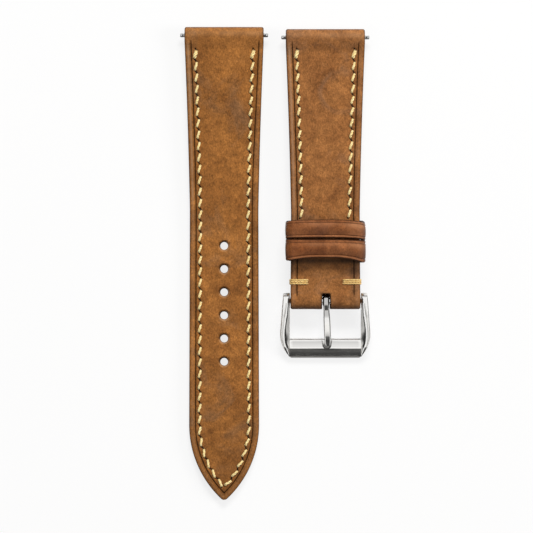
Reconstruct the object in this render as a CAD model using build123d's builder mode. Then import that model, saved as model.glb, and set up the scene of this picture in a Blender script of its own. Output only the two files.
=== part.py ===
from build123d import *
from math import acos, asin, atan2, cos, hypot, sin, sqrt
import os

# A two-piece leather watch strap laid flat. The long half, with its six tongue holes, lies on
# the left, and the short half, with its two keepers and the buckle, lies on the right.
# Millimetres, +Z up, and the surface that the strap lies on is z = 0.

# The pair
lug_width = 20.0
long_length = 119.7
short_length = 70.9
halves_spacing = 25.6
short_setback = 0.6

# Outline of the leather
lug_straight = 4.0
long_waist_distance = 46.2
waist_to_keepers = 2.2
waist_width = 17.36
taper_hollow = 0.13
point_length = 19.0
long_shoulder_width = 17.72
buckle_end_width = 17.64
tip_radius = 1.2

# Leather layers, with the padded hump behind the lugs
upper_thickness = 1.15
lining_thickness = 1.0
valley_distance = 5.5
valley_height = 3.45
buckle_valley_distance = 3.4
buckle_valley_height = 3.0
padding_to_first_hole = 3.4
padding_blunt_length = 2.0
valley_radius = 4.0
lug_flap_length = 12.0
buckle_flap_length = 10.0
nose_gap = 0.25

# Creased line and seam
crease_inset = 1.42
crease_width = 0.35
crease_depth = 0.25
crease_start = 3.0
short_crease_to_end = 2.9
seam_inset = 2.62
stitch_length = 2.0
stitch_width = 0.75
stitch_bevel = 0.35
stitch_height = 0.35
stitch_pitch = 2.91
short_stitch_pitch = 2.79
long_seam_start = 5.7
short_seam_start = 5.2
seam_to_keeper = 0.2
stitch_slant = 19

# Tongue holes and tongue slot
hole_count = 6
hole_diameter = 2.1
hole_pitch = 5.87
last_hole_to_tip = 34.95
slot_width = 2.1
slot_length = 3.9
slot_corner_radius = 0.5

# Spring bars, each a tube with a sprung tip at both ends
bar_radius = 0.9
bar_bore_radius = 0.6
bar_crimp_radius = 0.53
bar_crimp_length = 0.3
tunnel_clearance = 0.06
tip_head_radius = 0.56
tip_head_length = 0.8
tip_rod_radius = 0.48
tip_pin_radius = 0.5
tip_flange_radius = 0.85
tip_dome_length = 0.2
bar_end_play = 0.05
spring_bore_radius = 0.38
spring_sides = 8
core_sides = 12
lug_tube_length = 16.0
lug_flange_inner = 9.35
lug_flange_outer = 10.0
lug_tip_reach = 11.15
buckle_tube_length = 14.4
buckle_flange_inner = 8.5
buckle_flange_outer = 8.9
buckle_tip_reach = 10.0

# Keepers
keeper_width = 4.55
keeper_wall = 1.2
keeper_side_clearance = 0.2
keeper_top_clearance = 0.2
keeper_under_clearance = 0.15
keeper_gap = 0.5
fixed_keeper_to_end = 17.45
keeper_corner_radius = 2.3
keeper_bottom_radius = 1.5
keeper_crease_inset = 0.85
keeper_crease_width = 0.3
keeper_crease_depth = 0.18
keeper_foot_length = 4.0
keeper_foot_thickness = 0.6
keeper_foot_radius = 0.9

# Bar tacks, three strands each, sewn round the edge of the short half
tack_to_end = 6.93
tack_length = 4.4
tack_strand = 0.42
tack_pitch = 0.46
tack_height = 0.3
tack_count = 3

# Buckle frame, in its own frame with the spring bar's axis as the origin
buckle_inner_width = 18.0
buckle_eye_radius = 2.0
buckle_eye_width = 21.4
buckle_eye_corner = 0.7
buckle_widest_distance = 7.7
buckle_width = 22.8
buckle_end_flat = 17.2
buckle_inner_distance = 9.9
buckle_outer_distance = 14.5
buckle_corner_radius = 1.0
buckle_edge_radius = 0.4
buckle_underside = 1.1
crossbar_lip_height = 0.35
crossbar_ridge_distance = 11.9
crossbar_ridge_height = 1.2
crossbar_edge_height = 0.35
pin_hole_clearance = 0.05
pin_hole_end_play = 0.1
notch_width = 3.0
notch_end_width = 2.4
notch_depth = 2.4
notch_floor = 0.28

# Buckle tongue
tongue_ring_radius = 1.45
tongue_ring_width = 1.85
tongue_width = 1.6
tongue_tip_width = 1.35
tongue_tip_distance = 11.8
tongue_tip_top = 1.3
tongue_tip_bottom = 0.34
tongue_arch_distance = 6.0
tongue_arch_top = 1.75
tongue_arch_bottom = 0.6
tongue_lean = 0.5
tongue_clearance = 0.06

# One overrun carries every cut past the faces that it opens
overrun = 6.0

# Places worked out from the sizes above
tail_height = upper_thickness + lining_thickness
long_shoulder_distance = long_length - point_length
first_hole_distance = long_length - last_hole_to_tip - hole_pitch * (hole_count - 1)
padding_end = first_hole_distance - padding_to_first_hole
tunnel_radius = bar_radius + tunnel_clearance
loop_radius = tunnel_radius + upper_thickness
bar_distance = short_length - loop_radius
filler_start = loop_radius + tunnel_radius + nose_gap
long_end = long_length + overrun
fixed_keeper_distance = short_length - fixed_keeper_to_end
free_keeper_distance = fixed_keeper_distance - keeper_gap - keeper_width
short_waist_distance = free_keeper_distance - waist_to_keepers
short_seam_end = free_keeper_distance - seam_to_keeper
tack_distance = short_length - tack_to_end
strap_tilt = atan2(keeper_under_clearance + keeper_wall, free_keeper_distance)
long_x = -(halves_spacing + buckle_width / 2 - lug_tip_reach) / 2
short_x = long_x + halves_spacing
lug_end_y = long_length / 2
pivot_height = bar_distance * sin(strap_tilt) + loop_radius * cos(strap_tilt)
buckle_reach = hypot(buckle_outer_distance, buckle_underside)
buckle_tilt = asin(pivot_height / buckle_reach) - atan2(buckle_underside, buckle_outer_distance)


class LocalFrame:
    """Places sketches on a tilted piece: s runs along it, w across towards +X, and h up."""

    def __init__(self, origin, tilt):
        self.origin = Vector(*origin)
        self.along = Vector(0, -cos(tilt), sin(tilt))
        self.up = Vector(0, sin(tilt), cos(tilt))

    def point(self, s, h=0):
        return self.origin + self.along * s + self.up * h

    def plan(self, h=0):
        """A plane seen from above, whose x is s and whose y is w."""
        return Plane(self.point(0, h), x_dir=self.along, z_dir=self.up)

    def side(self):
        """The middle plane seen from the side, whose x is s and whose y is h."""
        return Plane(self.origin, x_dir=self.along, z_dir=-Axis.X.direction)

    def section(self, s):
        """A plane across the piece, whose x is w and whose y is h."""
        return Plane(self.point(s), x_dir=Axis.X.direction, z_dir=self.along)

    def slope(self, s, h, s_end, h_end):
        """A plane on the straight top face that runs between two points of the side view."""
        along = (self.point(s_end, h_end) - self.point(s, h)).normalized()
        up = along.cross(Axis.X.direction)
        return Plane(self.point(s, h), x_dir=along, z_dir=up)


long_half = LocalFrame((long_x, lug_end_y, 0), 0)
short_half = LocalFrame((short_x, lug_end_y - short_setback, 0), strap_tilt)
pivot = short_half.point(bar_distance, loop_radius)
buckle = LocalFrame((pivot.X, pivot.Y, pivot.Z), -buckle_tilt)


os.makedirs("parts", exist_ok=True)


def save(part, name):
    """Labels a finished piece and writes it."""
    part.label = name
    export_step(part, f"parts/{name}.step")


# Outlines seen from above

def taper_lines(waist_distance, inset=0):
    """One edge of the leather from the lug end to the waist, moved in by an inset."""
    lug_half = lug_width / 2 - inset
    waist_half = waist_width / 2 - inset
    middle = ((lug_straight + waist_distance) / 2, (lug_half + waist_half) / 2 - taper_hollow)
    Line((-overrun, lug_half), (lug_straight, lug_half))
    ThreePointArc((lug_straight, lug_half), middle, (waist_distance, waist_half))


def tip_side_radius():
    """Radius of the long arcs that run from the shoulders into the rounded point."""
    half = long_shoulder_width / 2
    run = point_length - tip_radius
    return (run ** 2 + half ** 2 - tip_radius ** 2) / (2 * (half - tip_radius))


with BuildSketch() as long_outline:
    with BuildLine():
        long_shoulder = (long_shoulder_distance, long_shoulder_width / 2)
        tip_centre = Vector(long_length - tip_radius, 0)
        side_centre = Vector(long_shoulder_distance, long_shoulder_width / 2 - tip_side_radius())
        tip_start = tip_centre + (tip_centre - side_centre).normalized() * tip_radius
        taper_lines(long_waist_distance)
        Line((long_waist_distance, waist_width / 2), long_shoulder)
        TangentArc(long_shoulder, tip_start, tangent=(1, 0))
        RadiusArc(tip_start, (long_length, 0), tip_radius)
        mirror(about=Plane.XZ)
        Line((-overrun, lug_width / 2), (-overrun, -lug_width / 2))
    make_face()

with BuildSketch() as short_outline:
    with BuildLine():
        taper_lines(short_waist_distance)
        Polyline((short_waist_distance, waist_width / 2), (short_length, buckle_end_width / 2),
                 (short_length + overrun, buckle_end_width / 2), (short_length + overrun, 0))
        mirror(about=Plane.XZ)
        Line((-overrun, lug_width / 2), (-overrun, -lug_width / 2))
    make_face()


def crease_plan(outline, start, end):
    """The creased line inside an outline, between two distances from the lug end."""
    with BuildSketch() as crease:
        add(outline.sketch)
        offset(amount=-crease_inset)
        offset(amount=-crease_width, mode=Mode.SUBTRACT)
        with Locations((start, 0)):
            Rectangle(end - start, lug_width, align=(Align.MIN, Align.CENTER),
                      mode=Mode.INTERSECT)
    return crease.sketch


# Profiles seen from the side

def line_meets_loop(run, rise):
    """Where a straight line from a valley touches the top of a loop, from the loop's centre."""
    reach = hypot(run, rise)
    angle = atan2(rise, run) + acos(loop_radius / reach)
    return loop_radius * cos(angle), loop_radius * sin(angle)


def lug_loop_lines():
    """The skin's outer line from the flap's end, round the lug bar, to the valley's start."""
    touch_s, touch_h = line_meets_loop(valley_distance - loop_radius, valley_height - loop_radius)
    touch = (loop_radius + touch_s, loop_radius + touch_h)
    Line((lug_flap_length, 0), (loop_radius, 0))
    ThreePointArc((loop_radius, 0), (0, loop_radius), touch)
    return touch


def long_skin():
    touch = lug_loop_lines()
    FilletPolyline(touch, (valley_distance, valley_height), (padding_end, tail_height),
                   (long_end, tail_height), radius=valley_radius)


def short_skin():
    touch = lug_loop_lines()
    run = buckle_valley_distance
    back_s, back_h = line_meets_loop(run, buckle_valley_height - loop_radius)
    back = (bar_distance - back_s, loop_radius + back_h)
    FilletPolyline(touch, (valley_distance, valley_height),
                   (bar_distance - run, buckle_valley_height), back, radius=valley_radius)
    ThreePointArc(back, (short_length, loop_radius), (bar_distance, 0))
    Line((bar_distance, 0), (bar_distance - buckle_flap_length, 0))


def skin_face(skin, thickness):
    """The band of leather of a given thickness inside a skin line."""
    with BuildSketch() as band:
        with BuildLine():
            skin()
            offset(amount=thickness, side=Side.RIGHT)
        make_face()
    return band.sketch


def body_face(skin, end, end_height, flap_end):
    """Everything inside a skin line whose two ends are joined along the underside."""
    with BuildSketch() as body:
        with BuildLine():
            skin()
            if end_height:
                Polyline((end, end_height), (end, 0), (flap_end, 0))
            else:
                Line((end, 0), (flap_end, 0))
        make_face()
    return body.sketch


def short_top(s):
    """Height of the short half's top face between its two valleys."""
    share = (s - valley_distance) / (bar_distance - buckle_valley_distance - valley_distance)
    return valley_height + (buckle_valley_height - valley_height) * share


def short_half_width(s):
    """Half of the short half's width between its waist and its buckle end."""
    share = (s - short_waist_distance) / (short_length - short_waist_distance)
    return (waist_width + (buckle_end_width - waist_width) * share) / 2


def box_face(s_from, s_to, height, mode=Mode.ADD):
    with Locations((s_from, 0)):
        Rectangle(s_to - s_from, height, align=(Align.MIN, Align.MIN), mode=mode)


def cut_to_outline(frame, outline):
    """Trims the piece in hand to an outline seen from above."""
    with BuildSketch(frame.plan()) as cutter:
        add(outline.sketch)
    extrude(cutter.sketch, amount=lug_width, both=True, mode=Mode.INTERSECT)


def punch_tongue_holes():
    with BuildSketch(long_half.plan()) as holes:
        with Locations([(first_hole_distance + hole_pitch * i, 0) for i in range(hole_count)]):
            Circle(hole_diameter / 2)
    extrude(holes.sketch, amount=lug_width, both=True, mode=Mode.SUBTRACT)


def cut_tongue_slot():
    """Opens the buckle end on its middle line, so that the tongue can turn on the bar."""
    with BuildSketch(short_half.plan()) as slot:
        with Locations((short_length - slot_length, 0)):
            Rectangle(slot_length + overrun, slot_width, align=(Align.MIN, Align.CENTER))
        fillet(slot.vertices().group_by(Axis.X)[0], slot_corner_radius)
    extrude(slot.sketch, amount=lug_width, both=True, mode=Mode.SUBTRACT)


# Leather of the long half

with BuildPart() as long_crease:
    with BuildSketch(long_half.side()):
        add(skin_face(long_skin, crease_depth))
    extrude(amount=lug_width, both=True)
    with BuildSketch(long_half.plan(upper_thickness)):
        add(crease_plan(long_outline, crease_start, long_length))
    extrude(amount=lug_width, mode=Mode.INTERSECT)

with BuildPart() as long_upper:
    with BuildSketch(long_half.side()):
        add(skin_face(long_skin, upper_thickness))
    extrude(amount=lug_width, both=True)
    cut_to_outline(long_half, long_outline)
    punch_tongue_holes()
    add(long_crease.part, mode=Mode.SUBTRACT)
save(long_upper.part, "long_upper")

with BuildPart() as long_filler:
    with BuildSketch(long_half.side()):
        add(body_face(long_skin, long_end, tail_height, lug_flap_length))
        add(skin_face(long_skin, upper_thickness), mode=Mode.SUBTRACT)
        box_face(lug_flap_length, long_end, lining_thickness, mode=Mode.SUBTRACT)
        box_face(0, filler_start, lug_width, mode=Mode.SUBTRACT)
        box_face(padding_end - padding_blunt_length, long_end, lug_width, mode=Mode.SUBTRACT)
    extrude(amount=lug_width, both=True)
    cut_to_outline(long_half, long_outline)
save(long_filler.part, "long_filler")

with BuildPart() as long_lining:
    with BuildSketch(long_half.side()):
        box_face(lug_flap_length, long_end, lining_thickness)
    extrude(amount=lug_width, both=True)
    cut_to_outline(long_half, long_outline)
    punch_tongue_holes()
save(long_lining.part, "long_lining")


# Leather of the short half

with BuildPart() as short_crease:
    with BuildSketch(short_half.side()):
        add(skin_face(short_skin, crease_depth))
    extrude(amount=lug_width, both=True)
    with BuildSketch(short_half.plan(upper_thickness)):
        add(crease_plan(short_outline, crease_start, short_length - short_crease_to_end))
    extrude(amount=lug_width, mode=Mode.INTERSECT)

with BuildPart() as short_upper:
    with BuildSketch(short_half.side()):
        add(skin_face(short_skin, upper_thickness))
    extrude(amount=lug_width, both=True)
    cut_to_outline(short_half, short_outline)
    cut_tongue_slot()
    add(short_crease.part, mode=Mode.SUBTRACT)
save(short_upper.part, "short_upper")

foot_inner = short_half_width(fixed_keeper_distance) - keeper_foot_length

with BuildPart() as short_filler:
    with BuildSketch(short_half.side()):
        add(body_face(short_skin, bar_distance - buckle_flap_length, 0, lug_flap_length))
        add(skin_face(short_skin, upper_thickness), mode=Mode.SUBTRACT)
        box_face(lug_flap_length, bar_distance - buckle_flap_length, lining_thickness,
                 mode=Mode.SUBTRACT)
        box_face(0, filler_start, lug_width, mode=Mode.SUBTRACT)
        box_face(bar_distance - tunnel_radius - nose_gap, short_length, lug_width,
                 mode=Mode.SUBTRACT)
    extrude(amount=lug_width, both=True)
    cut_to_outline(short_half, short_outline)
    cut_tongue_slot()
    with BuildSketch(short_half.plan(lining_thickness)):
        with Locations((fixed_keeper_distance, 0)):
            Rectangle(keeper_width, lug_width, align=(Align.MIN, Align.CENTER))
            Rectangle(keeper_width, 2 * foot_inner, align=(Align.MIN, Align.CENTER),
                      mode=Mode.SUBTRACT)
    extrude(amount=keeper_foot_thickness, mode=Mode.SUBTRACT)
save(short_filler.part, "short_filler")

with BuildPart() as short_lining:
    with BuildSketch(short_half.side()):
        box_face(lug_flap_length, bar_distance - buckle_flap_length, lining_thickness)
    extrude(amount=lug_width, both=True)
    cut_to_outline(short_half, short_outline)
save(short_lining.part, "short_lining")


# Seams: raised stitches on the top faces, each slanted to its seam

def stitch_shape():
    """One stitch, with its two ends cut on the bevel."""
    end = stitch_length / 2
    side = stitch_width / 2
    Polygon((-end, -side), (end - stitch_bevel, -side), (end, side), (stitch_bevel - end, side),
            align=None)


def stitches_along(line, pitch, from_s, to_s):
    """Lays stitches at an even pitch on a seam line, those between two distances alone."""
    count = round(line.length / pitch)
    for i in range(count):
        share = (i + 0.5) / count
        place = line.position_at(share)
        if from_s <= place.X < to_s:
            with Locations(Location((place.X, place.Y),
                                    line.tangent_angle_at(share) - stitch_slant)):
                stitch_shape()


with BuildLine() as long_seam_side:
    shoulder_w = long_shoulder_width / 2 - seam_inset
    side_centre_w = long_shoulder_width / 2 - tip_side_radius()
    apex_run = sqrt((shoulder_w - side_centre_w) ** 2 - side_centre_w ** 2)
    taper_lines(long_waist_distance, seam_inset)
    Line((long_waist_distance, waist_width / 2 - seam_inset),
         (long_shoulder_distance, shoulder_w))
    TangentArc((long_shoulder_distance, shoulder_w), (long_shoulder_distance + apex_run, 0),
               tangent=(1, 0))
    split(bisect_by=Plane.YZ.offset(long_seam_start), keep=Keep.TOP)

with BuildLine() as short_seam_side:
    taper_lines(short_waist_distance, seam_inset)
    Line((short_waist_distance, waist_width / 2 - seam_inset),
         (short_seam_end, waist_width / 2 - seam_inset))
    split(bisect_by=Plane.YZ.offset(short_seam_start), keep=Keep.TOP)

# Each seam's side line, its pitch, and the straight top faces that it crosses, each from
# one point of the side view to the next
buckle_valley = (bar_distance - buckle_valley_distance, buckle_valley_height)
seams = [
    ("long_seam_thread", long_half, long_seam_side, stitch_pitch,
     [(valley_distance, valley_height), (padding_end, tail_height), (long_end, tail_height)]),
    ("short_seam_thread", short_half, short_seam_side, short_stitch_pitch,
     [(valley_distance, valley_height), buckle_valley]),
]
for seam_name, half, seam_side, pitch, tops in seams:
    left_row = mirror(seam_side.wire(), Plane.XZ, mode=Mode.PRIVATE).wire()
    with BuildPart() as seam_thread:
        for (s_from, h_from), (s_to, h_to) in zip(tops, tops[1:]):
            first_s = 0 if s_from == valley_distance else s_from
            with BuildSketch(half.slope(s_from, h_from, s_to, h_to)) as face_stitches:
                with Locations((-s_from, 0)):
                    stitches_along(seam_side.wire(), pitch, first_s, s_to)
                    stitches_along(left_row, pitch, first_s, s_to)
            extrude(face_stitches.sketch, amount=stitch_height)
    save(seam_thread.part, seam_name)


# Keepers

def keeper_place(distance):
    """Half inner width and inner top of a keeper whose upper end is at a distance."""
    widest = short_half_width(fixed_keeper_distance + keeper_width)
    room = short_top(distance) + tail_height + keeper_top_clearance
    return widest + keeper_side_clearance, room


keeper_inner_half, keeper_inner_top = keeper_place(free_keeper_distance)


def keeper_shape(bottom, bottom_radius):
    """Outer outline of a keeper in a section across the strap."""
    height = keeper_inner_top + keeper_wall - bottom
    with BuildSketch() as shape:
        with Locations((0, bottom)):
            Rectangle(2 * (keeper_inner_half + keeper_wall), height,
                      align=(Align.CENTER, Align.MIN))
        fillet(shape.vertices().group_by(Axis.Y)[-1], keeper_corner_radius)
        fillet(shape.vertices().group_by(Axis.Y)[0], bottom_radius)
    return shape.sketch


def keeper_crease(shape, frame_distance):
    """The two creased lines that run round the outside of a keeper, near its edges."""
    for start in (keeper_crease_inset, keeper_width - keeper_crease_inset - keeper_crease_width):
        with BuildSketch(short_half.section(frame_distance + start)) as crease:
            add(shape)
            offset(amount=-keeper_crease_depth, mode=Mode.SUBTRACT)
        extrude(crease.sketch, amount=keeper_crease_width, mode=Mode.SUBTRACT)


free_keeper_bottom = -keeper_under_clearance - keeper_wall
with BuildPart() as free_keeper:
    free_shape = keeper_shape(free_keeper_bottom, keeper_bottom_radius)
    with BuildSketch(short_half.section(free_keeper_distance)):
        add(free_shape)
        offset(amount=-keeper_wall, mode=Mode.SUBTRACT)
    extrude(amount=keeper_width)
    keeper_crease(free_shape, free_keeper_distance)
save(free_keeper.part, "free_keeper")

with BuildPart() as fixed_keeper:
    fixed_shape = keeper_shape(lining_thickness, keeper_foot_radius)
    foot_top = lining_thickness + keeper_foot_thickness
    with BuildSketch(short_half.section(fixed_keeper_distance)) as fixed_section:
        add(fixed_shape)
        with BuildSketch(mode=Mode.SUBTRACT) as fixed_inside:
            with Locations((0, foot_top)):
                Rectangle(2 * keeper_inner_half, keeper_inner_top - foot_top,
                          align=(Align.CENTER, Align.MIN))
            fillet(fixed_inside.vertices().group_by(Axis.Y)[-1],
                   keeper_corner_radius - keeper_wall)
        with Locations((0, lining_thickness)):
            Rectangle(2 * foot_inner, keeper_foot_thickness,
                      align=(Align.CENTER, Align.MIN), mode=Mode.SUBTRACT)
    extrude(amount=keeper_width)
    keeper_crease(fixed_shape, fixed_keeper_distance)
save(fixed_keeper.part, "fixed_keeper")


# Bar tacks: strands sewn over the short half's edges near the buckle

tack_outer = short_half_width(tack_distance) + tack_height
for side_name, facing in (("left", -1), ("right", 1)):
    with BuildPart() as bar_tack:
        for i in range(tack_count):
            strand_start = tack_distance + (i - tack_count / 2) * tack_pitch
            with BuildSketch(short_half.section(strand_start)):
                with Locations((facing * (tack_outer - tack_length), -tack_height)):
                    Rectangle(tack_length, short_top(tack_distance) + 2 * tack_height,
                              align=(Align.MIN if facing > 0 else Align.MAX, Align.MIN))
                Rectangle(2 * short_half_width(tack_distance + tack_pitch),
                          short_top(tack_distance),
                          align=(Align.CENTER, Align.MIN), mode=Mode.SUBTRACT)
            extrude(amount=tack_strand)
    save(bar_tack.part, f"bar_tack_{side_name}")


# Spring bars

def turned(points, axis_point):
    """Turns a closed profile of (x, radius) points round a bar's axis."""
    plane = Plane(axis_point, x_dir=Axis.X.direction, z_dir=Axis.Z.direction)
    with BuildSketch(plane) as profile:
        Polygon(*points, align=None)
    revolve(profile.sketch, axis=Axis(axis_point, Axis.X.direction))


def tube_profile(half_length):
    """A tube whose bore narrows at both crimped ends, which hold the tips in."""
    half = [(half_length, bar_radius), (half_length, bar_crimp_radius),
            (half_length - bar_crimp_length, bar_bore_radius)]
    return half + [(-x, r) for x, r in reversed(half)]


def tip_profile(flange_inner, flange_outer, reach, facing):
    """The flange and the pin of a tip, which the spring bar shows outside the leather."""
    dome_start = reach - tip_dome_length
    points = [(flange_inner, 0),
              (flange_inner, tip_flange_radius), (flange_outer, tip_flange_radius),
              (flange_outer, tip_pin_radius), (dome_start, tip_pin_radius),
              (reach, tip_pin_radius - tip_dome_length), (reach, 0)]
    return [(facing * x, r) for x, r in points]


def tip_core(half_length, flange_inner, axis_point, facing):
    """A tip's head and rod, which stay inside the tube and the leather, as plain prisms."""
    head_outer = half_length - bar_crimp_length - bar_end_play
    head_inner = head_outer - tip_head_length
    for radius, inner, outer in ((tip_head_radius, head_inner, head_outer),
                                 (tip_rod_radius, head_outer, flange_inner)):
        across = Plane(axis_point + Vector(facing * inner, 0, 0),
                       x_dir=Axis.Y.direction, z_dir=Vector(facing, 0, 0))
        with BuildSketch(across) as core:
            RegularPolygon(radius, core_sides)
        extrude(core.sketch, amount=outer - inner)


def spring_sleeve(half_length, axis_point):
    """The space of the coil spring between the two tips' heads, as an eight-sided sleeve."""
    end = half_length - bar_crimp_length - 2 * bar_end_play - tip_head_length
    across = Plane(axis_point, x_dir=Axis.Y.direction, z_dir=Axis.X.direction)
    with BuildSketch(across) as ring:
        RegularPolygon(tip_head_radius, spring_sides)
        RegularPolygon(spring_bore_radius, spring_sides, mode=Mode.SUBTRACT)
    extrude(ring.sketch, amount=end, both=True)


lug_bar_sizes = (lug_tube_length / 2, lug_flange_inner, lug_flange_outer, lug_tip_reach)
buckle_bar_sizes = (buckle_tube_length / 2, buckle_flange_inner, buckle_flange_outer,
                    buckle_tip_reach)
spring_bars = [
    ("long_lug", long_half.point(loop_radius, loop_radius), lug_bar_sizes),
    ("short_lug", short_half.point(loop_radius, loop_radius), lug_bar_sizes),
    ("buckle", pivot, buckle_bar_sizes),
]
for bar_name, centre, (half_tube, flange_inner, flange_outer, reach) in spring_bars:
    with BuildPart() as bar_tube:
        turned(tube_profile(half_tube), centre)
    save(bar_tube.part, f"{bar_name}_bar_tube")

    with BuildPart() as bar_spring:
        spring_sleeve(half_tube, centre)
    save(bar_spring.part, f"{bar_name}_bar_spring")

    for side_name, facing in (("left", -1), ("right", 1)):
        with BuildPart() as bar_tip:
            turned(tip_profile(flange_inner, flange_outer, reach, facing), centre)
            tip_core(half_tube, flange_inner, centre, facing)
        save(bar_tip.part, f"{bar_name}_tip_{side_name}")


# Buckle frame

def is_rounded(edge):
    """Whether an edge of the frame's block runs across the top of its crossbar."""
    middle = buckle.plan().to_local_coords(edge @ 0.5)
    return middle.Z > 0 and middle.X > (buckle_inner_distance + crossbar_ridge_distance) / 2


with BuildPart() as buckle_frame:
    with BuildSketch(buckle.plan()):
        with BuildLine():
            eye_half = buckle_eye_width / 2
            widest = (buckle_widest_distance, buckle_width / 2)
            eye_side = (buckle_eye_corner - buckle_eye_radius, eye_half)
            Line((-buckle_eye_radius, 0), (-buckle_eye_radius, eye_half - buckle_eye_corner))
            RadiusArc((-buckle_eye_radius, eye_half - buckle_eye_corner), eye_side,
                      buckle_eye_corner)
            Line(eye_side, widest)
            TangentArc(widest, (buckle_outer_distance, buckle_end_flat / 2),
                       tangent=Vector(*widest) - Vector(*eye_side))
            Line((buckle_outer_distance, buckle_end_flat / 2), (buckle_outer_distance, 0))
            mirror(about=Plane.XZ)
        make_face()
    extrude(amount=lug_width, both=True)
    with BuildSketch(buckle.side()):
        Circle(buckle_eye_radius)
        Polygon((0, -buckle_eye_radius), (buckle_inner_distance, -buckle_underside),
                (buckle_outer_distance, -buckle_underside),
                (buckle_outer_distance, crossbar_edge_height),
                (crossbar_ridge_distance, crossbar_ridge_height), (0, buckle_eye_radius),
                align=None)
    extrude(amount=lug_width, both=True, mode=Mode.INTERSECT)
    fillet(buckle_frame.edges().filter_by(Axis.X).filter_by(is_rounded), buckle_edge_radius)
    with BuildSketch(buckle.plan()) as frame_window:
        with Locations((-buckle_eye_radius, 0)):
            Rectangle(buckle_inner_distance + buckle_eye_radius, buckle_inner_width,
                      align=(Align.MIN, Align.CENTER))
        fillet(frame_window.vertices().group_by(Axis.X)[-1], buckle_corner_radius)
    extrude(amount=lug_width, both=True, mode=Mode.SUBTRACT)
    with BuildSketch(buckle.side()):
        Polygon((buckle_corner_radius, crossbar_lip_height),
                (buckle_inner_distance, crossbar_lip_height),
                (crossbar_ridge_distance, crossbar_ridge_height),
                (crossbar_ridge_distance, overrun), (buckle_corner_radius, overrun), align=None)
    extrude(amount=buckle_inner_width / 2, both=True, mode=Mode.SUBTRACT)
    with BuildSketch(buckle.plan(notch_floor)):
        Polygon((buckle_inner_distance - overrun, -notch_width / 2),
                (buckle_inner_distance, -notch_width / 2),
                (buckle_inner_distance + notch_depth, -notch_end_width / 2),
                (buckle_inner_distance + notch_depth, notch_end_width / 2),
                (buckle_inner_distance, notch_width / 2),
                (buckle_inner_distance - overrun, notch_width / 2), align=None)
    extrude(amount=overrun, mode=Mode.SUBTRACT)
    with BuildSketch(buckle.side()):
        Circle(tip_pin_radius + pin_hole_clearance)
    extrude(amount=buckle_tip_reach + pin_hole_end_play, both=True, mode=Mode.SUBTRACT)
save(buckle_frame.part, "buckle_frame")


# Buckle tongue

with BuildPart() as buckle_tongue:
    with BuildSketch(buckle.side()):
        with BuildLine():
            ThreePointArc((0, tongue_ring_radius), (tongue_arch_distance, tongue_arch_top),
                          (tongue_tip_distance, tongue_tip_top))
            Line((tongue_tip_distance, tongue_tip_top), (tongue_tip_distance, tongue_tip_bottom))
            ThreePointArc((tongue_tip_distance, tongue_tip_bottom),
                          (tongue_arch_distance, tongue_arch_bottom), (0, 0))
            Line((0, 0), (0, tongue_ring_radius))
        make_face()
    extrude(amount=lug_width, both=True)
    with BuildSketch(buckle.plan()):
        tip_half = tongue_tip_width / 2
        with BuildLine():
            Polyline((tongue_tip_distance - tip_half, tongue_lean - tip_half),
                     (0, -tongue_width / 2), (0, tongue_width / 2),
                     (tongue_tip_distance - tip_half, tongue_lean + tip_half))
            ThreePointArc((tongue_tip_distance - tip_half, tongue_lean + tip_half),
                          (tongue_tip_distance, tongue_lean),
                          (tongue_tip_distance - tip_half, tongue_lean - tip_half))
        make_face()
    extrude(amount=lug_width, both=True, mode=Mode.INTERSECT)
    with BuildSketch(buckle.side()):
        Circle(tongue_ring_radius)
    extrude(amount=tongue_ring_width / 2, both=True)
    with BuildSketch(buckle.side()):
        Circle(bar_radius + tongue_clearance)
    extrude(amount=lug_width, both=True, mode=Mode.SUBTRACT)
save(buckle_tongue.part, "buckle_tongue")
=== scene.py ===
from bisect import bisect_right
from math import acos, asin, atan2, cos, exp, hypot, inf, pi, radians, sin, sqrt, tan
import bmesh
import bpy
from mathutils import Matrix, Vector, kdtree, noise


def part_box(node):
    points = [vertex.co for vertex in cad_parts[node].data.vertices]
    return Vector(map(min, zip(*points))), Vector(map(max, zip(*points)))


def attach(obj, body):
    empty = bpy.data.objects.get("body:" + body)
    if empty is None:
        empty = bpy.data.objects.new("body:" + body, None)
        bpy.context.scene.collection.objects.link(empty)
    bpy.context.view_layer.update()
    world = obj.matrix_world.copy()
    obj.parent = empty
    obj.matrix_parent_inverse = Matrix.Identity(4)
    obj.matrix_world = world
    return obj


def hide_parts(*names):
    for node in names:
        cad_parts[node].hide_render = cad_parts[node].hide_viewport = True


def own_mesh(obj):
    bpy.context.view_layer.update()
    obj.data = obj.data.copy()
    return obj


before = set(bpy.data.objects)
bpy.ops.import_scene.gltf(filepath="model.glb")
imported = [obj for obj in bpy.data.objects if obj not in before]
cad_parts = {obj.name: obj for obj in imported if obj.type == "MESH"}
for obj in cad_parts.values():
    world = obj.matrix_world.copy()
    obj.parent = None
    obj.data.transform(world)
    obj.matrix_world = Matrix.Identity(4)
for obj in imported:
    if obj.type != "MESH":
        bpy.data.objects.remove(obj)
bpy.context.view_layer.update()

# Sizes in millimetres, the same as the CAD model's. Meshes are written in metres.
MM = 0.001

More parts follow.
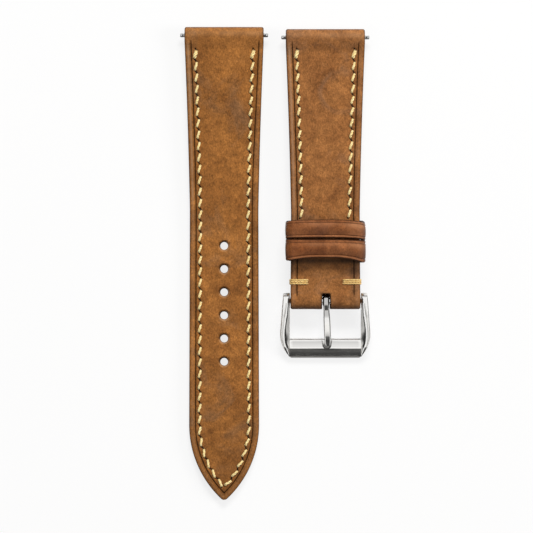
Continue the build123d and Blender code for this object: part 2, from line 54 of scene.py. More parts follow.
LONG_LENGTH, SHORT_LENGTH = 119.7, 70.9
LUG_HALF, LUG_END = 10.0, 4.0
WAIST, WAIST_HALF, WAIST_BOW = 46.2, 8.68, 0.13
SHOULDER, SHOULDER_HALF = 100.7, 8.86
TIP_RADIUS = 1.2
LOOP_RADIUS = 2.11
UPPER_THICKNESS, LINING_THICKNESS = 1.15, 1.0
TAIL_HEIGHT = UPPER_THICKNESS + LINING_THICKNESS
PADDING_END, CORE_START = 52.0, 3.4
CREASE_INSET, SEAM_INSET = 1.6, 2.62
CREASE_START, CREASE_REACH = 3.0, 2.4
SEAM_REACH, SLIT_REACH, FAR = (1.6, 4.0), 1.2, 9.0
SHORT_SEAM_END = 48.2
HOLES = [55.4 + 5.87 * i for i in range(6)]
HOLE_RADIUS = 0.98
BAR_S = SHORT_LENGTH - LOOP_RADIUS
FLAP_END, BUCKLE_FLAP = 12.0, BAR_S - 10
TONGUE_W = 0.15
SLOT_HALF, SLOT_START = 1.05, SHORT_LENGTH - 3.9
TACK_S, TACK_LENGTH = 63.97, 4.4


class Axes:
    """A piece's own directions: s runs away from the lugs, w across, h up."""

    def __init__(self, x, y, tilt, z=0.0):
        self.x, self.y, self.z = x, y, z
        self.c, self.t = cos(tilt), sin(tilt)

    def place(self, s, w, h):
        return ((self.x + w) * MM, (self.y - s * self.c + h * self.t) * MM,
                (self.z + s * self.t + h * self.c) * MM)

    def ring(self, s, outline, shift=0, facing=1):
        """An outline of points (w, h), placed at s."""
        return [self.place(s, shift + w * facing, h) for w, h in outline]

    def direction(self, s, w, h):
        return (Vector(self.place(s, w, h)) - Vector(self.place(0, 0, 0))).normalized()

    def local(self, p):
        x, y, z = p[0] / MM - self.x, p[1] / MM - self.y, p[2] / MM - self.z
        return -y * self.c + z * self.t, x, y * self.t + z * self.c


class Half(Axes):
    """One half of the strap. Its skin, top, stitches and slits are worked out further down."""

    def __init__(self, name, x, y, tilt, end, end_half, crease_end):
        super().__init__(x, y, tilt)
        self.name, self.body = name, name + "_half"
        self.end, self.end_half, self.crease_end = end, end_half, crease_end

    def width(self, s):
        """Half the width, without the pointed end."""
        if s < LUG_END:
            return LUG_HALF
        if s < WAIST:
            t = (s - LUG_END) / (WAIST - LUG_END)
            return LUG_HALF + (WAIST_HALF - LUG_HALF) * t - 4 * WAIST_BOW * t * (1 - t)
        t = min((s - WAIST) / (self.end - WAIST), 1)
        return WAIST_HALF + (self.end_half - WAIST_HALF) * t

    def inset(self, s, w):
        """Distance of a point from the edge."""
        if self.name == "long" and s > SHOULDER:
            return SIDE_RADIUS - hypot(s - SHOULDER, abs(w) - SIDE_W)
        return self.width(s) - abs(w)

    def crease_inset(self, s, w):
        """Distance of the pressed line from the edge, less on the right beside the lugs."""
        if self.name == "long" and w > 0:
            return CREASE_INSET - 0.36 * (1 - smooth(14, 38, s))
        return CREASE_INSET

    def crease_line(self, s, run_in):
        """How deep the pressed line is along the half, from 0 to 1."""
        end = self.crease_end
        return smooth(CREASE_START, CREASE_START + run_in, s) * (1 - smooth(end - 1, end, s))


TABLE = Axes(0, 0, 0)
# The long half's pressed line goes on round its pointed end, so its end lies past it
LONG = Half("long", -12.925, 59.85, 0, SHOULDER, SHOULDER_HALF, 500)
SHORT = Half("short", 12.675, 59.25, atan2(1.35, 48.4), SHORT_LENGTH, 8.82, 68.0)


def smooth(a, b, x):
    t = min(max((x - a) / (b - a), 0), 1)
    return t * t * (3 - 2 * t)


def bell(x, width):
    return exp(-(x / width) ** 2)


def wobble(s, w, seed, size):
    return noise.noise(Vector((s / size + seed, w / size, seed * 0.37)))


def frange(a, b, step):
    n = max(int((b - a) / step), 1)
    return [a + (b - a) * i / n for i in range(n + 1)]


def angles(n):
    """A full turn in n steps."""
    return [2 * pi * i / n for i in range(n)]


def quarter(n, first=0):
    """A quarter turn in n steps, from step number first on."""
    return [pi / 2 * i / n for i in range(first, n + 1)]


def divided(points, step):
    """A polyline with its runs divided evenly."""
    fine = []
    for a, b in zip(points, points[1:]):
        n = max(int(hypot(b[0] - a[0], b[1] - a[1]) / step), 1)
        fine += [(a[0] + (b[0] - a[0]) * i / n, a[1] + (b[1] - a[1]) * i / n) for i in range(n)]
    return fine + [points[-1]]


# The pointed end, seen from above: an arc of SIDE_RADIUS on each side and TIP_RADIUS between

TIP_RUN = LONG_LENGTH - TIP_RADIUS - SHOULDER
SIDE_RADIUS = ((TIP_RUN ** 2 + SHOULDER_HALF ** 2 - TIP_RADIUS ** 2)
               / (2 * (SHOULDER_HALF - TIP_RADIUS)))
SIDE_W = SHOULDER_HALF - SIDE_RADIUS
BIG_SHARE = 0.93


def tip_line(d, u):
    """A point of the line that runs d inside the pointed end's edge, u from 0 to 1."""
    radius = SIDE_RADIUS - d
    a_max = acos(-SIDE_W / (SIDE_RADIUS - max(d, TIP_RADIUS)))
    a = a_max * min(u / BIG_SHARE, 1)
    if u <= BIG_SHARE or d >= TIP_RADIUS:
        return SHOULDER + radius * sin(a), SIDE_W + radius * cos(a)
    b = a_max + (pi / 2 - a_max) * (u - BIG_SHARE) / (1 - BIG_SHARE)
    r = TIP_RADIUS - d
    return LONG_LENGTH - TIP_RADIUS + r * sin(b), r * cos(b)


# Side profiles: each station is (s, h, outward s, outward h, is on the top face)

STEP, FLAP_STEP = 0.22, 0.8
VALLEY = (5.5, 3.45)


def loop_points(centre, a0, a1):
    """Points of the leather's outside round a bar."""
    n = max(int(abs(a1 - a0) * LOOP_RADIUS / 0.16), 2)
    return [(centre + LOOP_RADIUS * cos(a), LOOP_RADIUS + LOOP_RADIUS * sin(a))
            for a in (a0 + (a1 - a0) * i / n for i in range(n + 1))]


def rounded_run(points, radius, step):
    """A polyline with its corners rounded and its runs divided evenly."""
    out = [points[0]]
    for a, b, c in zip(points, points[1:], points[2:]):
        b = Vector(b)
        va, vc = Vector(a) - b, Vector(c) - b
        la, lc = va.length, vc.length
        va.normalize(), vc.normalize()
        cut = min(radius / tan(va.angle(vc) / 2), la / 2, lc / 2)
        p, q = b + va * cut, b + vc * cut
        out += [tuple(p.lerp(b, i / 8).lerp(b.lerp(q, i / 8), i / 8)) for i in range(9)]
    return divided(out + [points[-1]], step)


def touch_angle(run, rise):
    return atan2(rise, run) + acos(LOOP_RADIUS / hypot(run, rise))


def skin_stations(buckle_end):
    """The outside of the top leather, from the end of its lug flap to its other end."""
    lug_touch = touch_angle(VALLEY[0] - LOOP_RADIUS, VALLEY[1] - LOOP_RADIUS)
    flap = divided([(FLAP_END, 0.0), (LOOP_RADIUS, 0.0)], FLAP_STEP)
    loop = loop_points(LOOP_RADIUS, -pi / 2, lug_touch - 2 * pi)
    if buckle_end:
        run, top = 3.4, 3.0
        back_loop = loop_points(BAR_S, pi - touch_angle(run, top - LOOP_RADIUS), -pi / 2)
        top_run = rounded_run([loop[-1], VALLEY, (BAR_S - run, top), back_loop[0]], 4.0, STEP)
        tail = back_loop[1:] + divided([(BAR_S, 0.0), (BUCKLE_FLAP, 0.0)], FLAP_STEP)[1:]
    else:
        top_run = rounded_run([loop[-1], VALLEY, (PADDING_END, TAIL_HEIGHT),
                               (SHOULDER, TAIL_HEIGHT)], 4.0, STEP)
        tail = []
    points = flap + loop[1:] + top_run[1:] + tail
    first = len(flap) + len(loop) // 2
    last = first + len(loop) // 2 + len(top_run) + len(tail) // 3
    out = []
    for i, (s, h) in enumerate(points):
        a, b = points[max(i - 1, 0)], points[min(i + 1, len(points) - 1)]
        ds, dh = b[0] - a[0], b[1] - a[1]
        length = hypot(ds, dh) or 1
        out.append((s, h, -dh / length, ds / length, first <= i <= last))
    return out


def top_height(skin):
    """A function that gives the top face's height at s."""
    pairs = sorted((s, h) for s, h, ns, nh, top in skin if top and nh > 0.3)

    def height(s):
        if s >= pairs[-1][0]:
            return pairs[-1][1]
        i = max(bisect_right(pairs, (s, inf)), 1)
        (s0, h0), (s1, h1) = pairs[i - 1], pairs[i]
        return h0 + (h1 - h0) * (s - s0) / max(s1 - s0, 1e-6)
    return height


# Seams: the place and direction of every stitch, and of the slits between them

SLANT = radians(19)
STITCH = 2.0


def seam_points(half, side):
    """Points of one seam line, from the lugs on, as (s, w)."""
    start, end = (5.7, SHOULDER) if half is LONG else (5.2, SHORT_SEAM_END)
    run = [(s, half.width(s) - SEAM_INSET) for s in frange(start, end, 0.25)]
    if half is LONG:
        run += [tip_line(SEAM_INSET, BIG_SHARE * i / 120) for i in range(121)]
    return [(s, w * side) for s, w in run]


def evenly(points, pitch):
    """Points evenly spaced along a line, each with the line's direction there."""
    lengths = [0]
    for a, b in zip(points, points[1:]):
        lengths.append(lengths[-1] + hypot(b[0] - a[0], b[1] - a[1]))
    count, out, j = round(lengths[-1] / pitch), [], 0
    for i in range(count):
        want = (i + 0.5) / count * lengths[-1]
        while j < len(lengths) - 2 and lengths[j + 1] < want:
            j += 1
        a, b = points[j], points[j + 1]
        t = (want - lengths[j]) / max(lengths[j + 1] - lengths[j], 1e-9)
        out.append((a[0] + (b[0] - a[0]) * t, a[1] + (b[1] - a[1]) * t,
                    atan2(b[1] - a[1], b[0] - a[0])))
    return out


def seam(half, side, pitch):
    """One seam's stitches as (s, w, angle), and the slits that the thread goes down."""
    places = evenly(seam_points(half, side), pitch)
    stitches = [(s, w, angle - SLANT) for s, w, angle in places]
    ends = [(s - cos(a) * STITCH / 2, w - sin(a) * STITCH / 2,
             s + cos(a) * STITCH / 2, w + sin(a) * STITCH / 2) for s, w, a in stitches]
    first, last = ends[0], ends[-1]
    slits = [(first[0] - 0.7, first[1] - 0.35, first[0] - 0.05, first[1])]
    slits += [(*a[2:], *b[:2]) for a, b in zip(ends, ends[1:])]
    slits.append((last[2] - 0.1, last[3], last[2] + 0.25, last[3] - 0.1))
    return stitches, slits


def tree_of(points):
    tree = kdtree.KDTree(len(points))
    for i, (s, w) in enumerate(points):
        tree.insert((s, w, 0), i)
    tree.balance()
    return tree


class Slits:
    """Finds how near a point lies to the slits that the thread goes down."""

    def __init__(self, slits):
        self.slits = slits
        self.tree = tree_of([((a + c) / 2, (b + d) / 2) for a, b, c, d in slits])

    def distance(self, s, w):
        co, i, near = self.tree.find((s, w, 0))
        if near > 1.6:
            return FAR
        a, b, c, d = self.slits[i]
        ds, dw = c - a, d - b
        t = min(max(((s - a) * ds + (w - b) * dw) / max(ds * ds + dw * dw, 1e-9), 0), 1)
        return hypot(s - a - ds * t, w - b - dw * t)


for half, pitch in ((LONG, 2.91), (SHORT, 2.79)):
    half.skin = skin_stations(half is SHORT)
    half.top = top_height(half.skin)
    seams = [seam(half, side, pitch) for side in (1, -1)]
    half.stitches = seams[0][0] + seams[1][0]
    half.firsts = [stitches[0] for stitches, slits in seams]
    half.slits = Slits(seams[0][1] + seams[1][1])


# Meshes: a body is a list of points and one of faces

def tube(rings, capped=True):
    """A body through rings of points, each with as many, and its two ends."""
    n, faces = len(rings[0]), []
    for a in range(0, (len(rings) - 1) * n, n):
        faces += [(a + j, a + (j + 1) % n, a + n + (j + 1) % n, a + n + j) for j in range(n)]
    verts = [p for ring in rings for p in ring]
    if capped:
        faces += [tuple(range(n - 1, -1, -1)), tuple(range(len(verts) - n, len(verts)))]
    return verts, faces


def merged(bodies):
    verts, faces = [], []
    for v, f in bodies:
        faces += [tuple(len(verts) + x for x in face) for face in f]
        verts += v
    return verts, faces


def mirrored(outline):
    return [(-w, h) for w, h in reversed(outline)]


def add_object(name, mesh):
    obj = bpy.data.objects.new(name, mesh)
    bpy.context.scene.collection.objects.link(obj)
    return obj


def scratch_object(name, verts, faces, weld=1e-7, dissolve=False):
    mesh = bpy.data.meshes.new(name)
    mesh.from_pydata(verts, [], faces)
    bm = bmesh.new()
    bm.from_mesh(mesh)
    bmesh.ops.remove_doubles(bm, verts=bm.verts, dist=weld)
    if dissolve:
        bmesh.ops.dissolve_degenerate(bm, edges=bm.edges, dist=weld / 4)
    bmesh.ops.recalc_face_normals(bm, faces=bm.faces)
    bm.to_mesh(mesh)
    bm.free()
    return add_object(name, mesh)


def loft(rings):
    return scratch_object("tool", *tube(rings))


def dress(obj, name, body, slot, material=None):
    """Gives a mesh its name, its smooth faces, its material, and the body that it moves with."""
    mesh = obj.data
    mesh.polygons.foreach_set("use_smooth", [True] * len(mesh.polygons))
    mesh.materials.clear()
    mesh.materials.append(material or MATERIALS[slot])
    obj.name = name
    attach(obj, body)
    return obj


def to_object(name, verts, faces, body, slot, weld=2e-6, material=None):
    obj = scratch_object(name, verts, faces, weld, True)
    return dress(obj, name, body, slot, material)


def combine(operation, obj, *others):
    """Cuts or joins a mesh with others and keeps the result on it."""
    for other in others:
        mod = obj.modifiers.new("combine", "BOOLEAN")
        mod.operation, mod.solver, mod.object = operation, "EXACT", other
        deps = bpy.context.evaluated_depsgraph_get()
        mesh = bpy.data.meshes.new_from_object(obj.evaluated_get(deps))
        obj.modifiers.clear()
        obj.data = mesh
        mesh.polygons.foreach_set("use_smooth", [True] * len(mesh.polygons))


def drop(*objects):
    for obj in objects:
        bpy.data.objects.remove(obj, do_unlink=True)


def paint(obj, axes, rule):
    """Writes the two values that the colours follow, worked out at each vertex: painted shade
    with the dyed edges, then wear, brushing and painted highlights.
    """
    pairs = [rule(*axes.local(v.co)) for v in obj.data.vertices]
    for i, name in enumerate(("shade", "wear_and_highlight")):
        values = obj.data.attributes.new(name, "FLOAT", "POINT")
        values.data.foreach_set("value", [min(max(pair[i], 0), 1) for pair in pairs])


def piece(node, name, shape, body, slot, axes, rule, weld=2e-6):
    """A finished piece that takes a node's place."""
    obj = to_object(name, *shape, body, slot, weld)
    paint(obj, axes, rule)
    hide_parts(node)
    return obj


# Leather in sheets

OUTER_D = [3.6, 3.3, 3.08, 2.92, 2.77, 2.62, 2.47, 2.32, 2.16, 2.0, 1.88, 1.79, 1.72, 1.66, 1.6,
           1.54, 1.48, 1.42, 1.36, 1.3, 1.24, 1.18, 1.12, 1.05, 0.95, 0.78, 0.62, 0.5, 0.38, 0.28,
           0.19, 0.12, 0.06, 0.02, 0.0]
INNER_D = OUTER_D[0]
INNER_CORNER = 0.08


def edge_drop(d, radius):
    if d >= radius:
        return 0.0
    return radius - sqrt(max(radius ** 2 - (radius - d) ** 2, 0))


def slab(half, name, rows, thickness, relief, slot, corner=0.5, material=None):
    """A sheet of leather with rounded edges. A row is (s, h, ns, nh, top, tip u or None)."""
    rings = []
    for s, h, ns, nh, top, u in rows:

        def spot(d, share=1):
            ps, pw = (s, half.width(s) - d) if u is None else tip_line(d, u)
            return ps, pw * share

        side = []
        for i in range(10):
            ps, pw = spot(INNER_D, i / 10)
            side.append((ps, pw, relief(ps, pw, top, half.inset(ps, pw))))
        for d in OUTER_D:
            ps, pw = spot(d)
            side.append((ps, pw, relief(ps, pw, top, d) - edge_drop(d, corner)))
        wall = (-corner - 0.12, -(corner + thickness) / 2, -thickness + INNER_CORNER)
        side += [(*spot(0), e) for e in wall]
        side += [(*spot(d), -thickness) for d in (INNER_CORNER, 1.2, INNER_D)]
        side += [(*spot(INNER_D, share), -thickness) for share in (0.5, 0)]
        for ps, pw, e in side[-2:0:-1]:
            if e > -corner and abs(pw) > 0.01:
                d = max(half.inset(ps, pw), 0)
                e = relief(ps, -pw, top, d) - edge_drop(d, corner)
            side.append((ps, -pw, e))
        rings.append([half.place(ps + ns * e, pw, h + nh * e) for ps, pw, e in side])
    verts, faces = tube(rings)
    if u is not None:
        faces.pop()
    return to_object(half.body + name, verts, faces, half.body, slot, material=material)


def with_tip(rows, h, nh):
    """Adds the rows of the pointed end."""
    shares = [BIG_SHARE * i / 90 for i in range(1, 91)]
    shares += [BIG_SHARE + (1 - BIG_SHARE) * i / 6 for i in range(1, 7)]
    return rows + [(SHOULDER, h, 0, nh, True, u) for u in shares]


def back_relief(half, seed):
    """Height added to an underside: slight unevenness and the channel that the thread lies in."""
    def relief(s, w, top, d):
        e = 0.02 * (wobble(s, w, seed, 3.0) - 1)
        if SEAM_REACH[0] < d < SEAM_REACH[1]:
            past = smooth(SHORT_SEAM_END + 0.2, SHORT_SEAM_END + 1.2, s) * (half is SHORT)
            sewn = smooth(4.4, 5.2, s) * (1 - past)
            e -= 0.34 * sewn * bell(d - SEAM_INSET, 0.42)
            near = half.slits.distance(s, w)
            if near < SLIT_REACH:
                e -= 0.2 * bell(near, 0.25)
        return e
    return relief


def top_relief(half, seed, pad, fade, fade_run):
    """Height added to a top face: crease, seam channel, slits, crown and slight unevenness."""
    back = back_relief(half, seed)

    def relief(s, w, top, d):
        if not top:
            return back(s, w, top, d)
        calm = smooth(4.0, 8.0, s)
        e = calm * 0.035 * wobble(s, w, seed, 5.0) + 0.012 * wobble(s, w, seed + 9, 1.1)
        if d < CREASE_REACH:
            line, crease = half.crease_line(s, 1.2), half.crease_inset(s, w)
            e -= 0.26 * line * bell(d - crease, 0.12)
            e += 0.05 * line * bell(d - crease - 0.3, 0.14)
            e += 0.09 * line * bell(d - crease / 2, 0.32)
        if SEAM_REACH[0] < d < SEAM_REACH[1]:
            e -= 0.06 * bell(d - SEAM_INSET, 0.55) * smooth(4, 6, s)
            near = half.slits.distance(s, w)
            if near < SLIT_REACH:
                e -= 0.26 * bell(near, 0.15) + 0.04 * bell(near, 0.45)
        return e + (pad - fade * smooth(*fade_run, s)) * calm * smooth(CREASE_REACH, 7.5, d)
    return relief


# Materials

class Maker:
    """Short names for the nodes that the materials and the world are made of."""

    def __init__(self, name, kind="Material"):
        self.block = getattr(bpy.data, kind.lower() + "s").new(name)
        self.block.use_nodes = True
        self.block.node_tree.nodes.clear()
        self.out = self.node("Output" + kind)
        self.coords = self.out_of("TexCoord", socket="Object")

    def node(self, kind, inputs=None, **values):
        """A node with its settings. Each input is linked to a socket or set to a value."""
        n = self.block.node_tree.nodes.new("ShaderNode" + kind)
        for key, value in values.items():
            setattr(n, key, value)
        for key, value in (inputs or {}).items():
            if isinstance(value, bpy.types.NodeSocket):
                self.block.node_tree.links.new(value, n.inputs[key])
            else:
                n.inputs[key].default_value = value
        return n

    def out_of(self, kind, inputs=None, socket=0, **values):
        return self.node(kind, inputs, **values).outputs[socket]

    def surface(self, socket):
        self.block.node_tree.links.new(socket, self.out.inputs["Surface"])
        return self.block

    def noise(self, scale, detail=3.0, rough=0.55, distortion=0.0, stretch=None):
        vector = self.coords
        if stretch:
            vector = self.out_of("Mapping", {"Vector": vector, "Scale": stretch})
        return self.out_of("TexNoise", {"Vector": vector, "Scale": scale, "Detail": detail,
                                        "Roughness": rough, "Distortion": distortion}, "Fac")

    def span(self, value, a, b, c=0.0, d=1.0):
        """Moves a value from the range a to b into the range c to d."""
        return self.out_of("MapRange", {"Value": value, "From Min": a, "From Max": b,
                                        "To Min": c, "To Max": d}, clamp=True)

    def math(self, operation, a, b):
        return self.out_of("Math", {0: a, 1: b}, operation=operation)

    def times(self, a, b):
        return self.math("MULTIPLY", a, b)

    def mix(self, share, a, b):
        return self.out_of("Mix", {0: share, 6: a, 7: b}, 2, data_type="RGBA")

    def attribute(self, name):
        return self.out_of("Attribute", socket="Fac", attribute_name=name)

    def bump(self, height, strength, distance):
        return self.out_of("Bump", {"Height": height, "Strength": strength,
                                    "Distance": distance})

    def principled(self, inputs):
        return self.surface(self.out_of("BsdfPrincipled", inputs))


def srgb(*levels):
    levels = [v / 255 for v in levels]
    return (*(v / 12.92 if v <= 0.04045 else ((v + 0.055) / 1.055) ** 2.4 for v in levels), 1.0)


def leather(name, middle, dark, light, cool, worn_and_highlight, shade_and_edge_dark, rough, grain=1.0, blotch=1.0):
    m = Maker(name)
    big = m.span(m.noise(120, 6, 0.66, 0.8), 0.34, 0.66)
    colour = m.mix(0.3, m.mix(big, srgb(*dark), srgb(*light)), srgb(*middle))
    cloud = m.span(m.noise(75, 5, 0.6, 1.2, (1, 1, 1.1)), 0.52, 0.68, 0.0, 0.5 * blotch)
    colour = m.mix(cloud, colour, srgb(*cool))
    mid = m.span(m.noise(640, 5, 0.7, 0.5), 0.34, 0.66, 1 - 0.24 * blotch, 1 + 0.24 * blotch)
    fine = m.span(m.noise(2300, 4, 0.72, 0.4, (1.25, 0.8, 1)), 0.36, 0.64, 1 - 0.32 * grain,
                  1 + 0.32 * grain)
    scar = m.span(m.noise(190, 7, 0.8, 2.2), 0.60, 0.70, 1.0, 1.0 + 0.22 * blotch)
    colour = m.out_of("VectorMath", {0: colour, "Scale": m.times(m.times(mid, fine), scar)},
                      operation="SCALE")
    # wear and painted highlights lighten the colour; painted shade and the dyed edges darken it
    wear_and_highlight = m.attribute("wear_and_highlight")
    colour = m.mix(m.times(wear_and_highlight, 0.55), colour, srgb(*worn_and_highlight))
    colour = m.mix(m.attribute("shade"), colour, srgb(*shade_and_edge_dark))
    pores = m.out_of("TexVoronoi", {"Vector": m.coords, "Scale": 1500}, "Distance",
                     feature="DISTANCE_TO_EDGE")
    pebble = m.span(pores, 0.0, 0.22)
    height = m.math("ADD", m.times(pebble, 0.35),
                    m.math("ADD", m.times(m.noise(900, 4, 0.6), 0.8),
                           m.times(m.noise(5200, 2, 0.5), 0.35)))
    dull = m.span(m.noise(300, 3, 0.6), 0.3, 0.7, rough - 0.07, rough + 0.09)
    return m.principled({"Base Color": colour, "Normal": m.bump(height, 0.35 * grain, 0.00012),
                         "Roughness": m.math("SUBTRACT", dull, m.times(wear_and_highlight, 0.12)),
                         "Specular IOR Level": 0.18})


def thread(name, pale, deep):
    m = Maker(name)
    tone = m.span(m.noise(2600, 3, 0.6, 0, (1, 1, 1)), 0.3, 0.7)
    colour = m.mix(tone, srgb(*deep), srgb(*pale))
    # painted shade darkens the thread where it goes down into the leather
    return m.principled({"Base Color": m.mix(m.attribute("shade"), colour, srgb(120, 80, 38)),
                         "Normal": m.bump(m.noise(9000, 2, 0.6), 0.35, 0.00005),
                         "Roughness": 0.5, "Specular IOR Level": 0.4, "Sheen Weight": 0.25,
                         "Sheen Roughness": 0.5})


def metal(name, colour, rough, grain, direction=(1, 60, 60), brushed=0.0):
    m = Maker(name)
    lines = m.noise(260, 3, 0.7, 0, direction)
    tarnish = m.span(m.noise(700, 3, 0.6), 0.45, 0.75, 0.0, 0.08)
    # each piece's painted shade and painted reflections, and random tarnish, darken the steel
    shade_and_tarnish = m.math("MAXIMUM", m.attribute("shade"), tarnish)
    inputs = {"Base Color": m.mix(shade_and_tarnish, (*colour, 1), (0.02, 0.016, 0.012, 1)), "Metallic": 1.0,
              "Roughness": m.span(lines, 0.3, 0.7, rough, rough + grain)}
    if brushed:
        waves = m.noise(300, 3, 0.6, 0, (1.3, 6, 6))
        marks = m.math("ADD", m.times(waves, 0.4), m.times(lines, 0.3))
        inputs["Normal"] = m.bump(m.times(marks, m.attribute("wear_and_highlight")), brushed, 0.0001)
    return m.principled(inputs)


# Colours of each leather: middle, dark, light, cool, worn and painted highlight, painted shade and
# dyed edges; then how dull it is, and how strong its grain and its blotches are
LEATHERS = {
    "leather_upper": ((149, 96, 46), (120, 74, 34), (176, 116, 58), (128, 96, 68),
                      (182, 144, 108), (20, 9, 4), 0.5),
    "leather_upper_short": ((149, 97, 52), (121, 75, 40), (175, 117, 66), (128, 96, 72),
                            (182, 144, 112), (20, 9, 4), 0.5),
    "leather_keeper": ((140, 84, 46), (112, 60, 28), (166, 104, 62), (126, 84, 62),
                       (190, 134, 94), (26, 10, 4), 0.36, 0.8, 0.9),
    "leather_lining": ((186, 143, 98), (168, 124, 80), (204, 163, 117), (160, 128, 96),
                       (214, 178, 136), (80, 52, 26), 0.6, 0.6, 0.5),
    "leather_core": ((84, 50, 24), (66, 37, 16), (104, 64, 33), (70, 44, 24), (120, 82, 50),
                     (38, 20, 9), 0.4, 0.4, 0.6)}
MATERIALS = {name: leather(name, *looks) for name, looks in LEATHERS.items()}
MATERIALS["seam_thread"] = thread("seam_thread", (255, 245, 192), (250, 211, 124))
MATERIALS["tack_thread"] = thread("tack_thread", (246, 216, 148), (206, 160, 84))
MATERIALS["bar_steel"] = metal("bar_steel", (0.66, 0.66, 0.66), 0.2, 0.08)
MATERIALS["spring_steel"] = metal("spring_steel", (0.5, 0.5, 0.51), 0.3, 0.1)
MATERIALS["buckle_steel"] = metal("polished_steel", (0.9, 0.89, 0.87), 0.07, 0.08, (3, 40, 40), 0.3)
MATERIALS["tongue_steel"] = MATERIALS["buckle_steel"]


# Cutters and the colours of the leather

def hole_cutter():
    top = TAIL_HEIGHT
    profile = [(1.30, -1.0), (1.28, -0.06), (1.14, 0.02), (1.03, 0.12), (HOLE_RADIUS, 0.28),
               (HOLE_RADIUS, top - 0.42), (1.01, top - 0.28), (1.08, top - 0.15),
               (1.18, top - 0.05), (1.32, top + 0.02), (1.5, top + 0.06), (1.51, top + 1.0)]
    holes = [tube([[LONG.place(s + r * cos(a), r * sin(a), h) for a in angles(56)]
                   for r, h in profile]) for s in HOLES]
    return scratch_object("tool", *merged(holes))


def slot_outline(half_w, start, r=0.6):
    outline = [(SHORT_LENGTH + 3, -half_w), (start + r, -half_w)]
    outline += [(start + r - r * sin(a), -half_w + r - r * cos(a)) for a in quarter(8, 1)]
    outline += [(s, -w) for s, w in outline[::-1]]
    return [(s, w + TONGUE_W) for s, w in outline]


def slot_cutter():
    """The tongue's slot: a little narrower in the lower layer than in the upper one."""
    wide = slot_outline(SLOT_HALF, SLOT_START)
    narrow = slot_outline(0.95, SHORT_LENGTH - 3.45)
    levels = [(-2, narrow), (1.2, narrow), (1.5, wide), (7, wide)]
    return loft([[SHORT.place(s, w, h) for s, w in outline] for h, outline in levels])


def hole_rim_shading(s, w):
    """Painted shade round a hole on the side towards the lugs, where its wall is turned from the
    light, and a painted highlight on the rim opposite.
    """
    near, c = min((hypot(s - c, w), c) for c in HOLES)
    lugward = smooth(-0.5, 0.9, (c - s - 0.35 * w) / max(near, 0.1))
    dark = (0.3 + 0.7 * lugward) * bell(max(near - HOLE_RADIUS - 0.13 * lugward, 0),
                                        0.12 + 0.16 * lugward)
    return dark, 0.9 * (1 - lugward) * bell(near - 1.22, 0.13)


def upper_rule(half, tone):
    """Painted shade and painted highlights of a top leather, with its dyed edges and the wear on
    its margins. tone gives how much painted shade it has at s.
    """
    def rule(s, w, h):
        d, depth = half.inset(s, w), half.top(max(s, 1.2)) - h
        on_top, shade = depth < 0.75, 0.0
        if on_top:
            line, from_crease = half.crease_line(s, 1.5), d - half.crease_inset(s, w)
            near = half.slits.distance(s, w)
            # painted shade in the pressed line and in the slits that the thread goes down
            shade = max(0.88 * line * bell(from_crease, 0.16), 1.0 - smooth(0.11, 0.26, near),
                        0.1 * bell(near, 0.5), 0.16 * line * bell(from_crease, 0.75))
            # painted shade along the half, and on the slope behind the lug loop, which faces away
            # from the light
            shade += (tone(s) + 0.15 * bell(s - 4.9, 1.4)) * (1 - shade)
        # dyed edges, and painted shade on the lug loop's end where it turns away from the light
        shade = max(shade, 0.62 * (1 - smooth(0.02, 0.42, d)),
                    0.55 * (1 - smooth(0.06, 0.42, s)) * smooth(1.4, 2.4, h))
        # painted shade and a painted highlight round the holes; the sides below the top are dyed
        # dark
        dark, pale = hole_rim_shading(s, w) if half is LONG else (0, 0)
        shade = max(shade * (1 - 0.8 * min(pale, 1)), dark, 0.72 * (depth > 0.5 and d < 0.3))
        # the margin beside the edge: rubbed wear and a painted highlight, stronger on the left; and
        # a painted highlight on the lug loop's crest
        side = 1.25 - 0.85 * smooth(38, 52, s) if w < 0 else 0.3
        uneven = 0.75 + 0.5 * wobble(s, w, 11.0, 4.0)
        wear_and_highlight = on_top * side * uneven * bell(d - 0.82, 0.3) * smooth(2.5, 6, s)
        return shade, max(wear_and_highlight, 1.7 * pale, 0.5 * on_top * bell(s - 1.7, 0.8) * uneven)
    return rule


def back_rule(half):
    def rule(s, w, h):
        d = half.inset(s, w)
        # the lining's dyed edges, painted shade in the seam's channel, in the slits and round the
        # holes, and slight random wear
        shade = 0.85 * (1 - smooth(0.1, 0.4, d))
        if h < 0.6:
            shade = max(shade, 0.9 * bell(half.slits.distance(s, w), 0.24),
                        0.35 * bell(d - SEAM_INSET, 0.35))
        if half is LONG:
            shade = max(shade, 0.6 * hole_rim_shading(s, w)[0])
        return shade, 0.3 * max(wobble(s, w, 7.7, 6.0), 0)
    return rule


def middle_layer(half, end):
    """The middle layer: its edges show between the top leather and the lining."""
    rings = []
    for s in frange(CORE_START, end, 0.4):
        low = UPPER_THICKNESS if s < FLAP_END or s > BUCKLE_FLAP else LINING_THICKNESS
        high = max(half.top(s) - UPPER_THICKNESS - 0.02, low + 0.06)
        w, mid = half.width(s) - 0.05, (low + high) / 2
        ring = [(0, high), (w - 1.5, high), (w - 0.1, high), (w, high - 0.04), (w + 0.03, mid),
                (w, low + 0.04), (w - 0.1, low), (w - 1.5, low), (0, low)]
        rings.append(half.ring(s, ring + mirrored(ring[1:-1])))
    return piece(half.name + "_filler", half.body + "_middle_layer", tube(rings), half.body,
                 "leather_core", TABLE,
                 lambda s, w, h: (0.15 + 0.3 * abs(wobble(-s, h, 2.0, 1.5)), 0.0))


